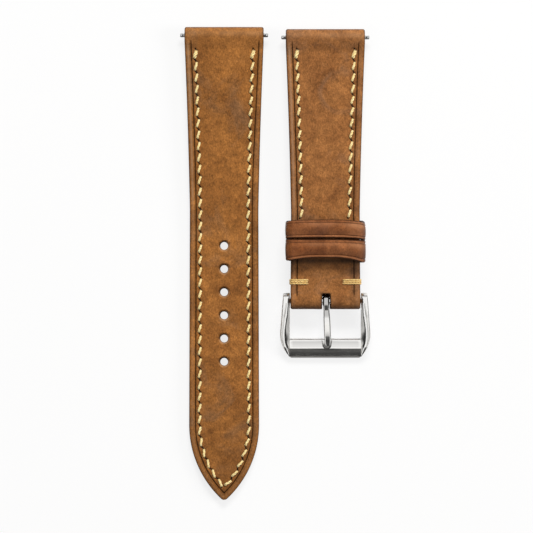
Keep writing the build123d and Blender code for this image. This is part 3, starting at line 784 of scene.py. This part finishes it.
def build_half(half, tool, rule, padding, seeds, lining_end, core_end, material=None):
    """A half's three layers. The tool cuts the top leather and the layer that it reaches."""
    rows = [(*station, None) for station in half.skin]
    back_rows = [(s, 0.0, 0, -1, False, None) for s in frange(FLAP_END, lining_end, 0.35)]
    if half is LONG:
        rows, back_rows = with_tip(rows, TAIL_HEIGHT, 1), with_tip(back_rows, 0.0, -1)
    top = slab(half, "_top_leather", rows, UPPER_THICKNESS, top_relief(half, seeds[0], *padding),
               "leather_upper", material=material)
    back = slab(half, "_lining_leather", back_rows, LINING_THICKNESS,
                back_relief(half, seeds[1]), "leather_lining", corner=0.4)
    core = middle_layer(half, core_end)
    for layer in (top, back if half is LONG else core):
        combine("DIFFERENCE", layer, tool)
    drop(tool)
    paint(top, half, rule)
    paint(back, half, back_rule(half))
    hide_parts(half.name + "_upper")
    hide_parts(half.name + "_lining")


# Painted shade along the long half: darker towards the pointed end, and a little on the padded part
# near the lugs.
def long_painted_shade(s):
    return 0.17 * smooth(88, 114, s) + 0.05 * smooth(5.5, 7.5, s) * (1 - smooth(25, 50, s))


# Painted shade along the short half: darker towards the buckle end, a painted shadow below the
# keepers, and painted shade where the end turns down round the bar.
def short_painted_shade(s):
    return (0.03 + 0.13 * smooth(57, 66, s) + 0.45 * smooth(69.5, 70.7, s)
            + 0.7 * bell(s - 58.6, 1.0) + 0.14 * bell(s - 60.5, 2.2))


short_base = upper_rule(SHORT, short_painted_shade)


def short_rule(s, w, h):
    """The short top leather's painted shade and painted highlights, with painted shade in and round
    the slot and where the tacks go in.
    """
    shade, wear_and_highlight = short_base(s, w, h)
    # painted shade in and round the tongue's slot
    if s > SHORT_LENGTH - 5:
        reach = max(abs(w - TONGUE_W) - SLOT_HALF, SLOT_START - s, 0)
        shade = max(shade, 0.97 * bell(reach, 0.24))
    # painted shade where the tack thread goes into the leather, and under the tack
    off, edge = abs(s - TACK_S), SHORT.width(s)
    if off < 1.2 and h > 1.5:
        inner = abs(abs(w) - (edge - TACK_LENGTH + 0.05))
        shade = max(shade, 0.9 * bell(hypot(off * 0.45, inner), 0.3),
                    0.25 * bell(off, 0.8) * (abs(w) > edge - TACK_LENGTH - 0.2))
    return shade, wear_and_highlight


build_half(LONG, hole_cutter(), upper_rule(LONG, long_painted_shade), (0.42, 0.3, (12, 52)), (1.3, 3.1),
           SHOULDER, PADDING_END - 2.2)
build_half(SHORT, slot_cutter(), short_rule, (0.36, 0.22, (10, 50)), (5.9, 6.4),
           BUCKLE_FLAP, BAR_S - 1.3, MATERIALS["leather_upper_short"])


# Thread

def strand(line, ply_radius, lay_radius, turns, flat):
    """Three plies twisted round a line. Each of its points is (place, across, up)."""
    plies = []
    for k in range(3):
        rings = []
        for i, (p, across, up) in enumerate(line):
            t = i / (len(line) - 1)
            a = 2 * pi * (k / 3 + turns * t)
            lay, thin = lay_radius * MM, ply_radius * MM * (0.75 + 0.25 * sin(pi * t) ** 0.5)
            centre = p + across * (lay * cos(a)) + up * (lay * flat * sin(a))
            rings.append([centre + across * (thin * cos(b)) + up * (thin * flat * sin(b))
                          for b in angles(7)])
        plies.append(tube(rings))
    return merged(plies)


def stitch_line(half, height, s, w, angle, length, rise, facing, sink=0.3, n=11):
    """A stitch from the bottom of one slit, over the leather, to the bottom of the next."""
    ds, dw = cos(angle), sin(angle)
    across, up = half.direction(-dw, ds, 0), half.direction(0, 0, facing)
    line = []
    for i in range(n):
        t = i / (n - 1)
        a, b = s + ds * (t - 0.5) * length, w + dw * (t - 0.5) * length
        lift = rise - (rise + sink) * abs(2 * t - 1) ** 4
        line.append((Vector(half.place(a, b, height(a) + facing * lift)), across, up))
    return line


def sew(half):
    """The stitches of a half, each on the top face and again on the back."""
    strands = []
    for i, (s, w, angle) in enumerate(half.stitches):
        first = (s, w, angle) in half.firsts
        thick = 1.5 if first else 1.0
        jitter = radians(4) * noise.noise(Vector((i * 1.7, 2.2, 0)))
        length = (STITCH + 0.3) * (1 + 0.05 * noise.noise(Vector((i * 2.3, 0.4, 0))))
        s -= 0.15 * first
        over = stitch_line(half, half.top, s, w, angle + jitter, length, 0.12, 1)
        under = stitch_line(half, lambda s: 0.0, s, w, angle - jitter, length, -0.23, -1)
        strands += [strand(over, 0.18 * thick, 0.155 * thick, 0.85, 0.8),
                    strand(under, 0.2, 0.18, 0.85, 0.6)]
    tree = tree_of([(s, w) for s, w, angle in half.stitches])
    # painted shade on each stitch towards its ends, where the thread goes down into the slits
    piece(half.name + "_seam_thread", half.body + "_seam_stitches", merged(strands), half.body,
          "seam_thread", half,
          lambda s, w, h: (0.75 * smooth(0.8, 1.2, tree.find((s, w, 0))[2]), 0.0), 1e-8)


def tack(side_name, facing):
    """Three strands side by side, round the edge of the short half near the buckle."""
    strands, across = [], SHORT.direction(1, 0, 0)
    for i in (-1, 0, 1):
        s = TACK_S + i * 0.45
        edge, top = SHORT.width(s), SHORT.top(s)
        inner = edge - TACK_LENGTH + (0.06 if i == 0 else 0)
        run = divided([(inner - 0.02, top - 0.5), (inner, top - 0.1), (inner + 0.16, top + 0.1),
                       (inner + 0.8, top + 0.15), (edge - 1.6, top + 0.16),
                       (edge - 0.55, top + 0.13), (edge - 0.12, top - 0.02),
                       (edge + 0.1, top - 0.35), (edge + 0.15, top - 0.9), (edge + 0.15, 0.9),
                       (edge + 0.1, 0.35), (edge - 0.12, 0.02), (edge - 0.6, -0.12),
                       (edge - 2.0, -0.14), (inner + 0.3, -0.12), (inner, 0.1),
                       (inner - 0.02, 0.5)], 0.18)
        line = []
        for j, (w, h) in enumerate(run):
            a, b = run[max(j - 1, 0)], run[min(j + 1, len(run) - 1)]
            up = SHORT.direction(0, (a[1] - b[1]) * facing, b[0] - a[0])
            line.append((Vector(SHORT.place(s, w * facing, h)), across, up))
        strands.append(strand(line, 0.135, 0.12, 5.5, 0.85))
    piece("bar_tack_" + side_name, "bar_tack_thread_" + side_name, merged(strands), "short_half",
          "tack_thread", SHORT, lambda s, w, h: (0.0, 0.0), 1e-8)


sew(LONG)
sew(SHORT)
tack("left", -1)
tack("right", 1)


# Keepers

KEEPER_HALF, KEEPER_TOP, KEEPER_RADIUS = 10.15, 6.81, 2.3
KEEPER_WIDTH, KEEPER_WALL, FOOT_WALL, FOOT = 4.55, 1.2, 0.6, 4.0
KEEPER_CREASE = 0.72
HALF_SECTION = [0.0, 0.02, 0.06, 0.13, 0.22, 0.34, 0.48, 0.58, 0.66, 0.72, 0.78, 0.86, 0.94, 1.1,
                1.35, 1.8, 2.275]
KEEPER_SECTION = HALF_SECTION + [KEEPER_WIDTH - x for x in HALF_SECTION[-2::-1]]

# How far a keeper's ends hang towards the buckle: its upper edge at the left and right end,
# then its lower edge, and last how much its far corners are rounded off
FREE_SAG = (0.35, 0.7, 0.1, 0.42, 0.3)
HELD_SAG = (-0.1, 0.28, 1.0, 1.5, -0.35)


def rounded_loop(low, low_r):
    """Points and outward directions round a keeper, from the middle of its underside."""
    pts, at = [], (0, low)

    def run(a, b):
        d = (b[0] - a[0], b[1] - a[1])
        n = max(int(hypot(*d) / 0.35), 1)
        pts.extend((a[0] + d[0] * i / n, a[1] + d[1] * i / n, d[1] / hypot(*d), -d[0] / hypot(*d))
                   for i in range(n))

    for i, (side, h, r) in enumerate(((1, low + low_r, low_r),
                                      (1, KEEPER_TOP - KEEPER_RADIUS, KEEPER_RADIUS),
                                      (-1, KEEPER_TOP - KEEPER_RADIUS, KEEPER_RADIUS),
                                      (-1, low + low_r, low_r))):
        w = side * (KEEPER_HALF - r)
        arc = [(cos(a), sin(a)) for a in (pi / 2 * (i - 1 + j / 10) for j in range(11))]
        run(at, (w + r * arc[0][0], h + r * arc[0][1]))
        pts += [(w + r * c, h + r * e, c, e) for c, e in arc[:-1]]
        at = w + r * arc[-1][0], h + r * arc[-1][1]
    run(at, (0, low))
    return pts


def edge_shifts(w, ends):
    """How far a keeper's upper and lower edge hang at w."""
    left, right = (min(max(x - 2.0, 0) / 8.1, 1.05) ** 2 for x in (-w, w))
    return ends[0] * left + ends[1] * right, ends[2] * left + ends[3] * right


def sag(share, w, ends):
    """The shift of a point, a share of the keeper's width from its upper edge."""
    upper, lower = edge_shifts(w, ends)
    round_off = ends[4] * (smooth(9.3, 10.15, -w) + smooth(9.3, 10.15, w))
    round_off *= (1 - share) if ends[4] > 0 else share
    return upper + (lower - upper) * min(max(share, 0), 1) + round_off


def unsag(s, w, start, ends):
    """The distance of a point from the keeper's upper edge, before that shift."""
    upper, lower = edge_shifts(w, ends)
    share = (s - start - upper) / (KEEPER_WIDTH + lower - upper)
    return min(max(share, 0), 1) * KEEPER_WIDTH


def keeper_light_and_shade(x, w, ends):
    """Painted shade and painted highlights of a keeper, with its dyed edges. ends is how far each
    end keeps the painted shade of the lower part, how much painted shade the left end has, and how
    strong the painted highlight on the right end is."""
    near = min(x, KEEPER_WIDTH - x)
    left, right = smooth(3.5, 7.5, -w), smooth(3.5, 7.5, w)
    keep = 1 + (ends[0] - 1) * left + (ends[1] - 1) * right
    # painted shade in the pressed lines, and the dyed edges
    crease = 0.6 * (1 - smooth(0.04, 0.17, abs(near - KEEPER_CREASE)))
    edge = 0.9 * (1 - smooth(0.08, 0.3, near))
    # painted shade: darker towards the lower edge, which faces away from the light, and at the ends
    # where the keeper turns down
    fall = 0.05 + 0.42 * smooth(1.0, 3.75, x) * (1 - smooth(3.85, 4.0, x)) * keep
    fall += ends[2] * left
    end = 0.4 * smooth(8.6, 10.1, abs(w))
    # painted highlights on the upper part, on the right end and below the lower pressed line
    glow = (0.5 + 0.5 * wobble(w, 1.0, 21.0, 4.0)) * bell(x - 1.15, 0.6) * (1 - left)
    glow += ends[3] * right * (bell(x - 1.1, 0.7) + 0.3 * smooth(0.8, 1.6, x) * (x < 3.8))
    glow += 0.6 * bell(x - 4.15, 0.16)
    return max(crease, edge, fall, end + 0.6 * fall), glow * (1 - end)


def keeper_section(w, nh, x, start, corner, plain):
    """Height of a keeper's face at x across its width, below 0: edge, crease, crown."""
    near = min(x, KEEPER_WIDTH - x)
    e = -edge_drop(near, corner) * 0.95
    if plain:
        return e
    e -= 0.12 * bell(near - KEEPER_CREASE, 0.09)
    e -= 0.34 * (1 - smooth(-0.4, KEEPER_WIDTH / 2, near)) * (0.35 + 0.65 * abs(nh))
    return e + 0.02 * wobble(w * 1.3, x + start, 8.0, 1.8)


def keeper(node, name, held, body, start, low, low_r, ends, painted_light):
    """A keeper. The free one is a closed loop; the held one's two feet turn in between the
    lining and the middle layer, and are thinner there."""
    width = KEEPER_WIDTH
    loop = rounded_loop(low, low_r)
    if held:
        foot_end = SHORT.width(start) - FOOT + 0.05
        loop = [p for p in loop if not (p[3] < -0.99 and abs(p[0]) < foot_end)]
        first = next(i for i, p in enumerate(loop) if p[0] > 0)
        loop = loop[first:] + loop[:first]
    rings = []
    for w, h, nw, nh in loop:
        wall = KEEPER_WALL
        if held and abs(w) > KEEPER_HALF - 1.0 and h < low + 0.95:
            wall = FOOT_WALL + (wall - FOOT_WALL) * smooth(low, low + 0.9, h)
        elif held and nh < -0.9:
            wall = FOOT_WALL
        corner, plain = 0.36 if wall > 1 else 0.2, held and nh <= -0.5
        ring = [(x, keeper_section(w, nh, x, start, corner, plain)) for x in KEEPER_SECTION]
        shoulder = 0.2 if held else 0.25
        ring += [(width, shoulder - wall), (width - 0.1, -wall), (width / 2, -wall), (0.1, -wall),
                 (0.0, shoulder - wall)]
        sagged = smooth(1.2, 3.5, h) if held else smooth(-1.2, 3.0, h)
        spread = 0.12 * smooth(2.0, 4.0, h)
        spread += 0.1 * smooth(8.6, 10.4, abs(w)) * (smooth(0.5, 1.5, h) if held else 1)
        uneven = 0.04 * wobble(w, 3.0, start, 4.0) * (smooth(1.6, 4, h) if held else 1)
        rings.append([])
        for x, e in ring:
            px = x + sag(x / width, w, ends) * sagged + (x / width - held) * spread + uneven
            rings[-1].append(SHORT.place(start + px, w + nw * e, h + nh * e))
    shape = tube(rings) if held else tube(rings + rings[:1], capped=False)
    piece(node, name, shape, body, "leather_keeper", SHORT,
          lambda s, w, h: keeper_light_and_shade(unsag(s, w, start, ends), w, painted_light))


keeper("free_keeper", "sliding_keeper_leather", False, "free_keeper", 48.4, -1.35, 1.5, FREE_SAG,
       (0, 0.1, 0.24, 0.9))
keeper("fixed_keeper", "held_keeper_leather", True, "short_half", 53.45, LINING_THICKNESS, 0.9,
       HELD_SAG, (0, 0.9, 0.03, 0.4))


# Steel parts

PIVOT = SHORT.place(BAR_S, 0, LOOP_RADIUS)
UNDER, OUTER = 1.1, 14.5
FRAME_END = 14.8
BUCKLE_TILT = atan2(UNDER, OUTER) - asin(PIVOT[2] / MM / hypot(OUTER, UNDER))
BUCKLE = Axes(PIVOT[0] / MM, PIVOT[1] / MM, BUCKLE_TILT, PIVOT[2] / MM)

EYE, EYE_HALF, EYE_CORNER = 2.0, 10.7, 0.7
WIDEST, WIDE_HALF, END_HALF = 7.7, 11.4, 8.6
INNER_HALF, INNER_END = 9.0, 9.9
LIP, LIP_TOP = 10.65, 0.46
RIDGE, RIDGE_TOP, EDGE_TOP = 11.9, 1.2, 0.35
PIN_HOLE = 0.53
NOTCH_W, NOTCH_HALF, NOTCH_LENGTH = 0.4, 1.15, 2.3


def circle(centre, x, r, n):
    """A ring of n points round the line that runs along X through centre."""
    return [(centre[0] + x * MM, centre[1] + r * MM * cos(a), centre[2] + r * MM * sin(a))
            for a in angles(n)]


def corner_circle():
    """The round that leads each arm's outline into the bar's end: its centre and radius."""
    run = Vector((WIDEST - (EYE_CORNER - EYE), WIDE_HALF - EYE_HALF)).normalized()
    normal = Vector((run.y, -run.x))
    chord = Vector((FRAME_END - WIDEST, END_HALF - WIDE_HALF))
    radius = chord.length_squared / (2 * chord.dot(normal))
    return WIDEST + normal.x * radius, WIDE_HALF + normal.y * radius, radius


CIRCLE_S, CIRCLE_W, CIRCLE_R = corner_circle()


def arm_outside(s):
    past = s + EYE - EYE_CORNER
    if past < 0:
        return EYE_HALF - EYE_CORNER + sqrt(max(EYE_CORNER ** 2 - past ** 2, 0))
    if s < WIDEST:
        return EYE_HALF + (WIDE_HALF - EYE_HALF) * past / (WIDEST + EYE - EYE_CORNER)
    return CIRCLE_W + sqrt(max(CIRCLE_R ** 2 - (s - CIRCLE_S) ** 2, 0))


def arm_top(s):
    if s < 0:
        return sqrt(max(EYE ** 2 - s ** 2, 0))
    if s < RIDGE:
        return EYE + (RIDGE_TOP - EYE) * s / RIDGE
    return RIDGE_TOP + (EDGE_TOP - RIDGE_TOP) * (s - RIDGE) / (FRAME_END - RIDGE)


def arm_bottom(s):
    if s < 0:
        return -sqrt(max(EYE ** 2 - s ** 2, 0))
    return -EYE + (EYE - UNDER) * min(s / INNER_END, 1)


def rounded_profile(corners):
    """A closed profile from its corners, each with the reach of its rounding."""
    out = []
    for i, (x, y, reach) in enumerate(corners):
        p, a, b = (Vector(corners[j % len(corners)][:2]) for j in (i, i - 1, i + 1))
        da, db = (a - p).normalized(), (b - p).normalized()
        half = da.angle(db) / 2
        r = reach * tan(half)
        q0, q1 = p + da * reach, p + db * reach
        centre = p + (da + db).normalized() * (r / sin(half))
        a0, a1 = (atan2(q.y - centre.y, q.x - centre.x) for q in (q0, q1))
        turn = (a1 - a0 + pi) % (2 * pi) - pi
        out += [(centre.x + r * cos(a0 + turn * j / 8), centre.y + r * sin(a0 + turn * j / 8))
                for j in range(9)]
    return out


def arm_section(s):
    """An arm's section: a slanted face towards the window and a slight fall to the outside."""
    low, high = arm_bottom(s), arm_top(s)
    w0, w1 = INNER_HALF, max(arm_outside(s), INNER_HALF + 0.12)
    width, tall = w1 - w0, high - low
    run = width * (0.3 + 0.3 * smooth(-1, 8.5, s) - 0.2 * smooth(9.5, 13.5, s))
    slant = min(run * tan(radians(38)), tall * 0.36)
    fall = min((width - run) * tan(radians(8)), tall * 0.15)
    small = min(0.22, tall * 0.2, width * 0.12)
    return rounded_profile([(w0, low, small), (w0, high - slant, min(0.16, small)),
                            (w0 + run, high, min(run * 0.85, (width - run) * 0.7)),
                            (w1, high - fall, min(0.28, tall * 0.2, width * 0.13)),
                            (w1, low, small)])


def arm_loft(facing):
    stops = [-EYE + 0.01 + 0.35 * (i / 8) ** 2 for i in range(8)] + frange(-1.63, 0, 0.18)
    stops += frange(0.0, 14.4, 0.25)[1:]
    return loft([BUCKLE.ring(s, arm_section(s), facing=facing) for s in stops])


def bar_loft():
    profile = rounded_profile([(INNER_END, -UNDER, 0.2), (INNER_END, 0.3, 0.3),
                               (LIP, LIP_TOP, 0.08), (RIDGE, RIDGE_TOP, 0.3), (13.3, 0.87, 0.6),
                               (FRAME_END, 0.34, 0.7), (FRAME_END, -UNDER + 0.06, 0.25)])
    return loft([[BUCKLE.place(s, share * min(INNER_HALF + 0.04, arm_outside(s) - 0.06), h)
                  for s, h in profile] for share in (-1, -0.9, -0.5, 0, 0.5, 0.9, 1)])


def pin_cutter(reach, radius):
    return loft([circle(PIVOT, x, radius, 40) for x in (-reach, reach)])


def notch_cutter():
    """The notch for the tongue's tip: open to the window, with a round end."""
    straight_end = INNER_END + NOTCH_LENGTH - NOTCH_HALF
    r, floor, roof = 0.2, 0.28, 3.0
    stops = [INNER_END - 2.0, INNER_END] + frange(INNER_END, straight_end, 0.3)[1:]
    stops += [straight_end + NOTCH_HALF * sin(a) for a in quarter(12, 1)[:-1]]
    rings = []
    for s in stops:
        half = 1.42 - 0.27 * min(max((s - INNER_END) / (straight_end - INNER_END), 0), 1)
        if s > straight_end:
            half = 0.25 + 0.9 * sqrt(max(1 - ((s - straight_end) / NOTCH_HALF) ** 2, 0))
        ring = [(half - r + r * sin(a), floor + r - r * cos(a)) for a in quarter(5)]
        ring.append((half, roof))
        rings.append(BUCKLE.ring(s, ring + mirrored(ring), NOTCH_W))
    return loft(rings)


def frame_rule(s, w, h):
    """Painted dark reflections on the bar's outer edge, its lip and its bevel, painted shade in its
    notch, and brushing on the bar's two faces.
    """
    on_bar = smooth(INNER_END + 0.2, INNER_END + 0.5, s) * (abs(w) < INNER_HALF)
    # painted dark reflection on the bar's outer edge
    foot = 0.82 * smooth(FRAME_END - 0.9, FRAME_END - 0.75, s) * (abs(w) < INNER_HALF + 0.6)
    # painted grey reflection on the lip and the bevel
    lip = 0.23 + 0.1 * (1 - smooth(10.5, 10.9, s)) - 0.08 * smooth(10.9, 11.4, s)
    lip = (lip + 0.05 * wobble(w, s, 31.0, 2.5)) * (1 - smooth(11.5, 12, s)) * on_bar
    # painted shade in the notch
    depth = LIP_TOP + (s - LIP) * (RIDGE_TOP - LIP_TOP) / (RIDGE - LIP) - h
    pit = 0.85 * smooth(0.06, 0.3, depth) * smooth(10.7, 11.3, s) * (s < 12.6) * (h > -0.5)
    pit *= abs(w - NOTCH_W) < 1.4
    return max(foot, lip, pit), on_bar * (0.6 + 0.4 * smooth(RIDGE - 0.2, RIDGE + 0.3, s))


def tongue_rule(s, w, h):
    """Painted shade on the tongue where it comes out of its slot."""
    return 0.4 * (1 - smooth(3.4, 4.4, s)), 0.0


def finish_steel(obj, node, slot, rule):
    """Finishes a joined steel piece: its name, its sharp and smooth edges, and its finish."""
    dress(obj, node + "_polished", node, slot)
    bm = bmesh.new()
    bm.from_mesh(obj.data)
    bmesh.ops.remove_doubles(bm, verts=bm.verts, dist=1e-7)
    for edge in bm.edges:
        edge.smooth = len(edge.link_faces) == 2 and edge.calc_face_angle(0) < radians(28)
    bm.to_mesh(obj.data)
    bm.free()
    paint(obj, BUCKLE, rule)
    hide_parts(node)


def buckle_frame():
    left, right, bar = arm_loft(-1), arm_loft(1), bar_loft()
    tools = pin_cutter(10.05, PIN_HOLE), notch_cutter()
    combine("UNION", left, right, bar)
    combine("DIFFERENCE", left, *tools)
    drop(right, bar, *tools)
    finish_steel(left, "buckle_frame", "buckle_steel", frame_rule)


def arc_through(*points):
    """A function that gives the upper height at s of the circle through three points."""
    (ax, ay), (bx, by), (cx, cy) = points
    d = 2 * (ax * (by - cy) + bx * (cy - ay) + cx * (ay - by))
    a2, b2, c2 = ax ** 2 + ay ** 2, bx ** 2 + by ** 2, cx ** 2 + cy ** 2
    ux = (a2 * (by - cy) + b2 * (cy - ay) + c2 * (ay - by)) / d
    uy = (a2 * (cx - bx) + b2 * (ax - cx) + c2 * (bx - ax)) / d
    r = hypot(ax - ux, ay - uy)
    return lambda s: uy + sqrt(r ** 2 - (s - ux) ** 2)


def tongue_shaft(ring_r):
    tip, end_r, lean = 11.8, 0.62, 0.55
    upper = arc_through((0, ring_r), (6.0, 1.75), (tip, 1.3))
    under = arc_through((0, 0.0), (6.0, 0.6), (tip, 0.34))
    stops = frange(0.0, tip - end_r, 0.25)
    stops += [tip - end_r * (1 - sin(a)) for a in quarter(8, 1)]
    rings = []
    for s in stops:
        low, high = under(s), upper(s)
        half = 0.72 + 0.17 * smooth(1.5, 6, s) - 0.17 * smooth(8.5, 11.6, s)
        high -= 0.5 * bell(s - 2.5, 1.35) + 0.45 * smooth(8.8, 11.8, s)
        if s > tip - end_r:
            share = sqrt(max(1 - ((s - tip + end_r) / end_r) ** 2, 0.004))
            half *= share
            mid, keep = (high + low) / 2, 0.55 + 0.45 * share
            high, low = mid + (high - mid) * keep, mid + (low - mid) * keep
        run, drop_by = 2 * half * 0.24, min(0.3, (high - low) * 0.48)
        low_r = min(0.3, 2 * half * 0.4, (high - low) * 0.3)
        ring = [(half - low_r + low_r * sin(a), low + low_r - low_r * cos(a)) for a in quarter(4)]
        ring += [(half - run + run * cos(a), high - drop_by + drop_by * sin(a))
                 for a in quarter(9)]
        rings.append(BUCKLE.ring(s, ring + mirrored(ring), TONGUE_W + lean * s / tip))
    return loft(rings)


def buckle_tongue():
    """The tongue: a shaft that rises from a ring round the bar."""
    ring_r, ring_half, edge_r = 1.45, 0.8, 0.48
    edge = [(ring_half, 0.0)]
    edge += [(ring_half - edge_r + edge_r * sin(a), ring_r - edge_r + edge_r * cos(a))
             for a in reversed(quarter(8))] + [(0.0, ring_r)]
    profile = [(TONGUE_W - x, r) for x, r in edge] + [(TONGUE_W + x, r) for x, r in edge[-2::-1]]
    ring = loft([circle(PIVOT, x, max(r, 0.02), 48) for x, r in profile])
    shaft, tool = tongue_shaft(ring_r), pin_cutter(3.0, 0.96)
    combine("UNION", ring, shaft)
    combine("DIFFERENCE", ring, tool)
    drop(shaft, tool)
    finish_steel(ring, "buckle_tongue", "tongue_steel", tongue_rule)


def turned_tip(node, centre, half_tube, flange_in, flange_out, reach, facing):
    """A bar's sprung tip: its head in the tube, its flange and its point."""
    head = half_tube - 0.35
    profile = [(head - 0.8, 0.0), (head - 0.8, 0.5), (head - 0.74, 0.56), (head - 0.05, 0.56),
               (head, 0.5), (head, 0.48), (flange_in, 0.48), (flange_in, 0.79),
               (flange_in + 0.06, 0.85), (flange_out - 0.06, 0.85), (flange_out, 0.79),
               (flange_out, 0.5), (reach - 0.26, 0.5), (reach - 0.16, 0.48), (reach - 0.07, 0.42),
               (reach - 0.02, 0.3), (reach, 0.15), (reach, 0.0)]
    rings = [circle(centre, facing * x, r, 48) for x, r in profile]
    axes = Axes(*(v / MM for v in (centre[0], centre[1])), 0, centre[2] / MM)
    # painted shade on the tip's underside and on its side that faces away from the light
    piece(node, node + "_turned", tube(rings, capped=False), node, "bar_steel", axes,
          lambda s, w, h: (0.9 * smooth(-0.06, 0.12, s - 0.45 * h), 0.0), 1e-7)


def half_coil(bar, side_name, facing, centre, end):
    """One half of a bar's coil spring."""
    wire, radius, turns, closed_turns, closed_pitch = 0.08, 0.46, 15, 2, 0.17
    pitch = (end - wire - closed_turns * closed_pitch) / (turns - closed_turns)
    rings = []
    for i in range(turns * 20 + 1):
        turn = i / 20
        shut = max(turn - (turns - closed_turns), 0)
        a = 2 * pi * turn * facing
        x = facing * ((turn - shut) * pitch + shut * closed_pitch)
        out = Vector((0, cos(a), sin(a)))
        rise = (closed_pitch if shut else pitch) / (2 * pi * radius)
        third = Vector((rise, -sin(a), cos(a))).normalized().cross(out)
        middle = Vector(centre) + (Vector((x, 0, 0)) + out * radius) * MM
        rings.append([tuple(middle + (out * cos(b) + third * sin(b)) * wire * MM)
                      for b in angles(8)])
    obj = to_object(f"{bar}_coil_{side_name}", *tube(rings), bar + "_bar", "spring_steel", 1e-7)
    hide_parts(bar + "_bar_spring")
    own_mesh(obj)


LUG_BAR = (8.0, 9.35, 10.0, 11.15, 1.2)
for bar, sizes in (("long_lug", LUG_BAR), ("short_lug", LUG_BAR),
                   ("buckle", (7.2, 8.5, 8.9, 10.0, 1.1))):
    *tip_sizes, travel = sizes
    centre = [(a + b) / 2 for a, b in zip(*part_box(bar + "_bar_tube"))]
    for side_name, facing in (("left", -1), ("right", 1)):
        turned_tip(f"{bar}_tip_{side_name}", centre, *tip_sizes, facing)
        half_coil(bar, side_name, facing, centre, sizes[0] - 1.18)
    tube_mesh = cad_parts[bar + "_bar_tube"].data
    tube_mesh.materials.clear()
    tube_mesh.materials.append(MATERIALS["bar_steel"])

buckle_frame()
buckle_tongue()


# Room: floor, soft light, dark cards that only the steel sees, and the camera

WHITE, FLOOR_WHITE = (1, 1, 1, 1), (0.96, 0.96, 0.96, 1)
FLOOR_GLOW, WORLD_LIGHT = 0.8, 0.16
SENSOR, LENS_DISTANCE, LENS_WIDTH = 36, 0.9, 0.1349
CAMERA_PLACE = (-2.2 * MM, -0.77 * MM, 0.902)


def plane(name, centre, size_x, size_y, material, turn=(0, 0, 0)):
    mesh = bpy.data.meshes.new(name)
    x, y = size_x / 2, size_y / 2
    mesh.from_pydata([(-x, -y, 0), (x, -y, 0), (x, y, 0), (-x, y, 0)], [], [(0, 1, 2, 3)])
    mesh.materials.append(material)
    obj = add_object(name, mesh)
    obj.location, obj.rotation_euler = centre, turn
    return obj


def card(name, centre, size_x, size_y, turn, greys):
    """A card that only shiny surfaces see, in greys that follow each other from its foot up."""
    m = Maker(name)
    up = m.out_of("SeparateXYZ", {0: m.coords}, "Y")
    bands = m.node("ValToRGB", {0: m.span(up, -size_y / 2, size_y / 2)})
    stops = bands.color_ramp.elements
    for i, (place, grey) in enumerate(greys):
        stop = stops[i] if i < 2 else stops.new(place)
        stop.position = place
        stop.color = (grey, grey * 0.99, grey * 0.97, 1)
    shine = m.out_of("Emission", {"Color": bands.outputs["Color"]})
    obj = plane(name, centre, size_x, size_y, m.surface(shine), turn)
    obj.visible_camera = obj.visible_diffuse = obj.visible_shadow = False
    obj.visible_transmission = False


def area(name, place, size, power, colour):
    """A lamp that faces the middle of the table and that the steel doesn't see."""
    lamp = bpy.data.lights.new(name, "AREA")
    lamp.shape, lamp.size, lamp.size_y = "RECTANGLE", size[0], size[1]
    lamp.energy, lamp.color = power, colour
    obj = add_object(name, lamp)
    obj.location = place
    obj.rotation_euler = (-Vector(place)).to_track_quat("-Z", "Y").to_euler()
    obj.visible_glossy = False


# The floor shines a little towards the camera, which keeps it white
m = Maker("floor")
seen = m.times(m.out_of("LightPath", socket="Is Camera Ray"), FLOOR_GLOW)
matte = m.out_of("BsdfDiffuse", {"Color": FLOOR_WHITE})
glow = m.out_of("Emission", {"Color": WHITE})
plane("floor", (0, 0, 0), 6, 6, m.surface(m.out_of("MixShader", {0: seen, 1: matte, 2: glow})))

upright = radians(90)
SIDE_BANDS = [(0.0, 0.4), (0.2, 0.55), (0.27, 0.03), (0.88, 0.02), (1.0, 0.9)]
card("south_card", (0.01, -0.44, 0.5), 0.4, 1.0, (upright, 0, 0),
     [(0.0, 1.0), (0.14, 0.9), (0.17, 0.03), (0.24, 0.05), (0.36, 0.11), (0.48, 0.08),
      (0.62, 0.4), (0.75, 1.0)])
card("north_card", (0.01, 0.5, 0.16), 0.9, 0.3, (upright, 0, 0), [(0.0, 0.25), (1.0, 0.7)])
card("east_card", (0.5, 0.0, 0.4), 0.9, 0.8, (upright, 0, upright), SIDE_BANDS)
card("west_card", (-0.5, 0.0, 0.4), 0.9, 0.8, (upright, 0, -upright), SIDE_BANDS)

area("key", (0.1, 1.05, 0.95), (0.65, 0.4), 17.2, (1.0, 0.99, 0.97))
area("side", (0.95, 0.0, 0.5), (0.4, 0.4), 5.0, (1.0, 0.99, 0.98))
area("fill", (-0.5, -0.25, 0.9), (0.8, 0.8), 1.2, (0.97, 0.98, 1.0))

# The world is white to the camera and the steel, and dim as a light
m = Maker("studio", "World")
rays = m.node("LightPath").outputs
bright = m.math("MAXIMUM", rays["Is Camera Ray"], rays["Is Glossy Ray"])
level = m.span(bright, 0.0, 1.0, WORLD_LIGHT, 1.0)
scene = bpy.context.scene
scene.world = m.surface(m.out_of("Background", {"Color": WHITE, "Strength": level}))

camera = bpy.data.cameras.new("camera")
camera.sensor_width, camera.lens = SENSOR, SENSOR * LENS_DISTANCE / LENS_WIDTH
scene.camera = add_object("camera", camera)
scene.camera.location = CAMERA_PLACE
scene.view_settings.view_transform = "Standard"
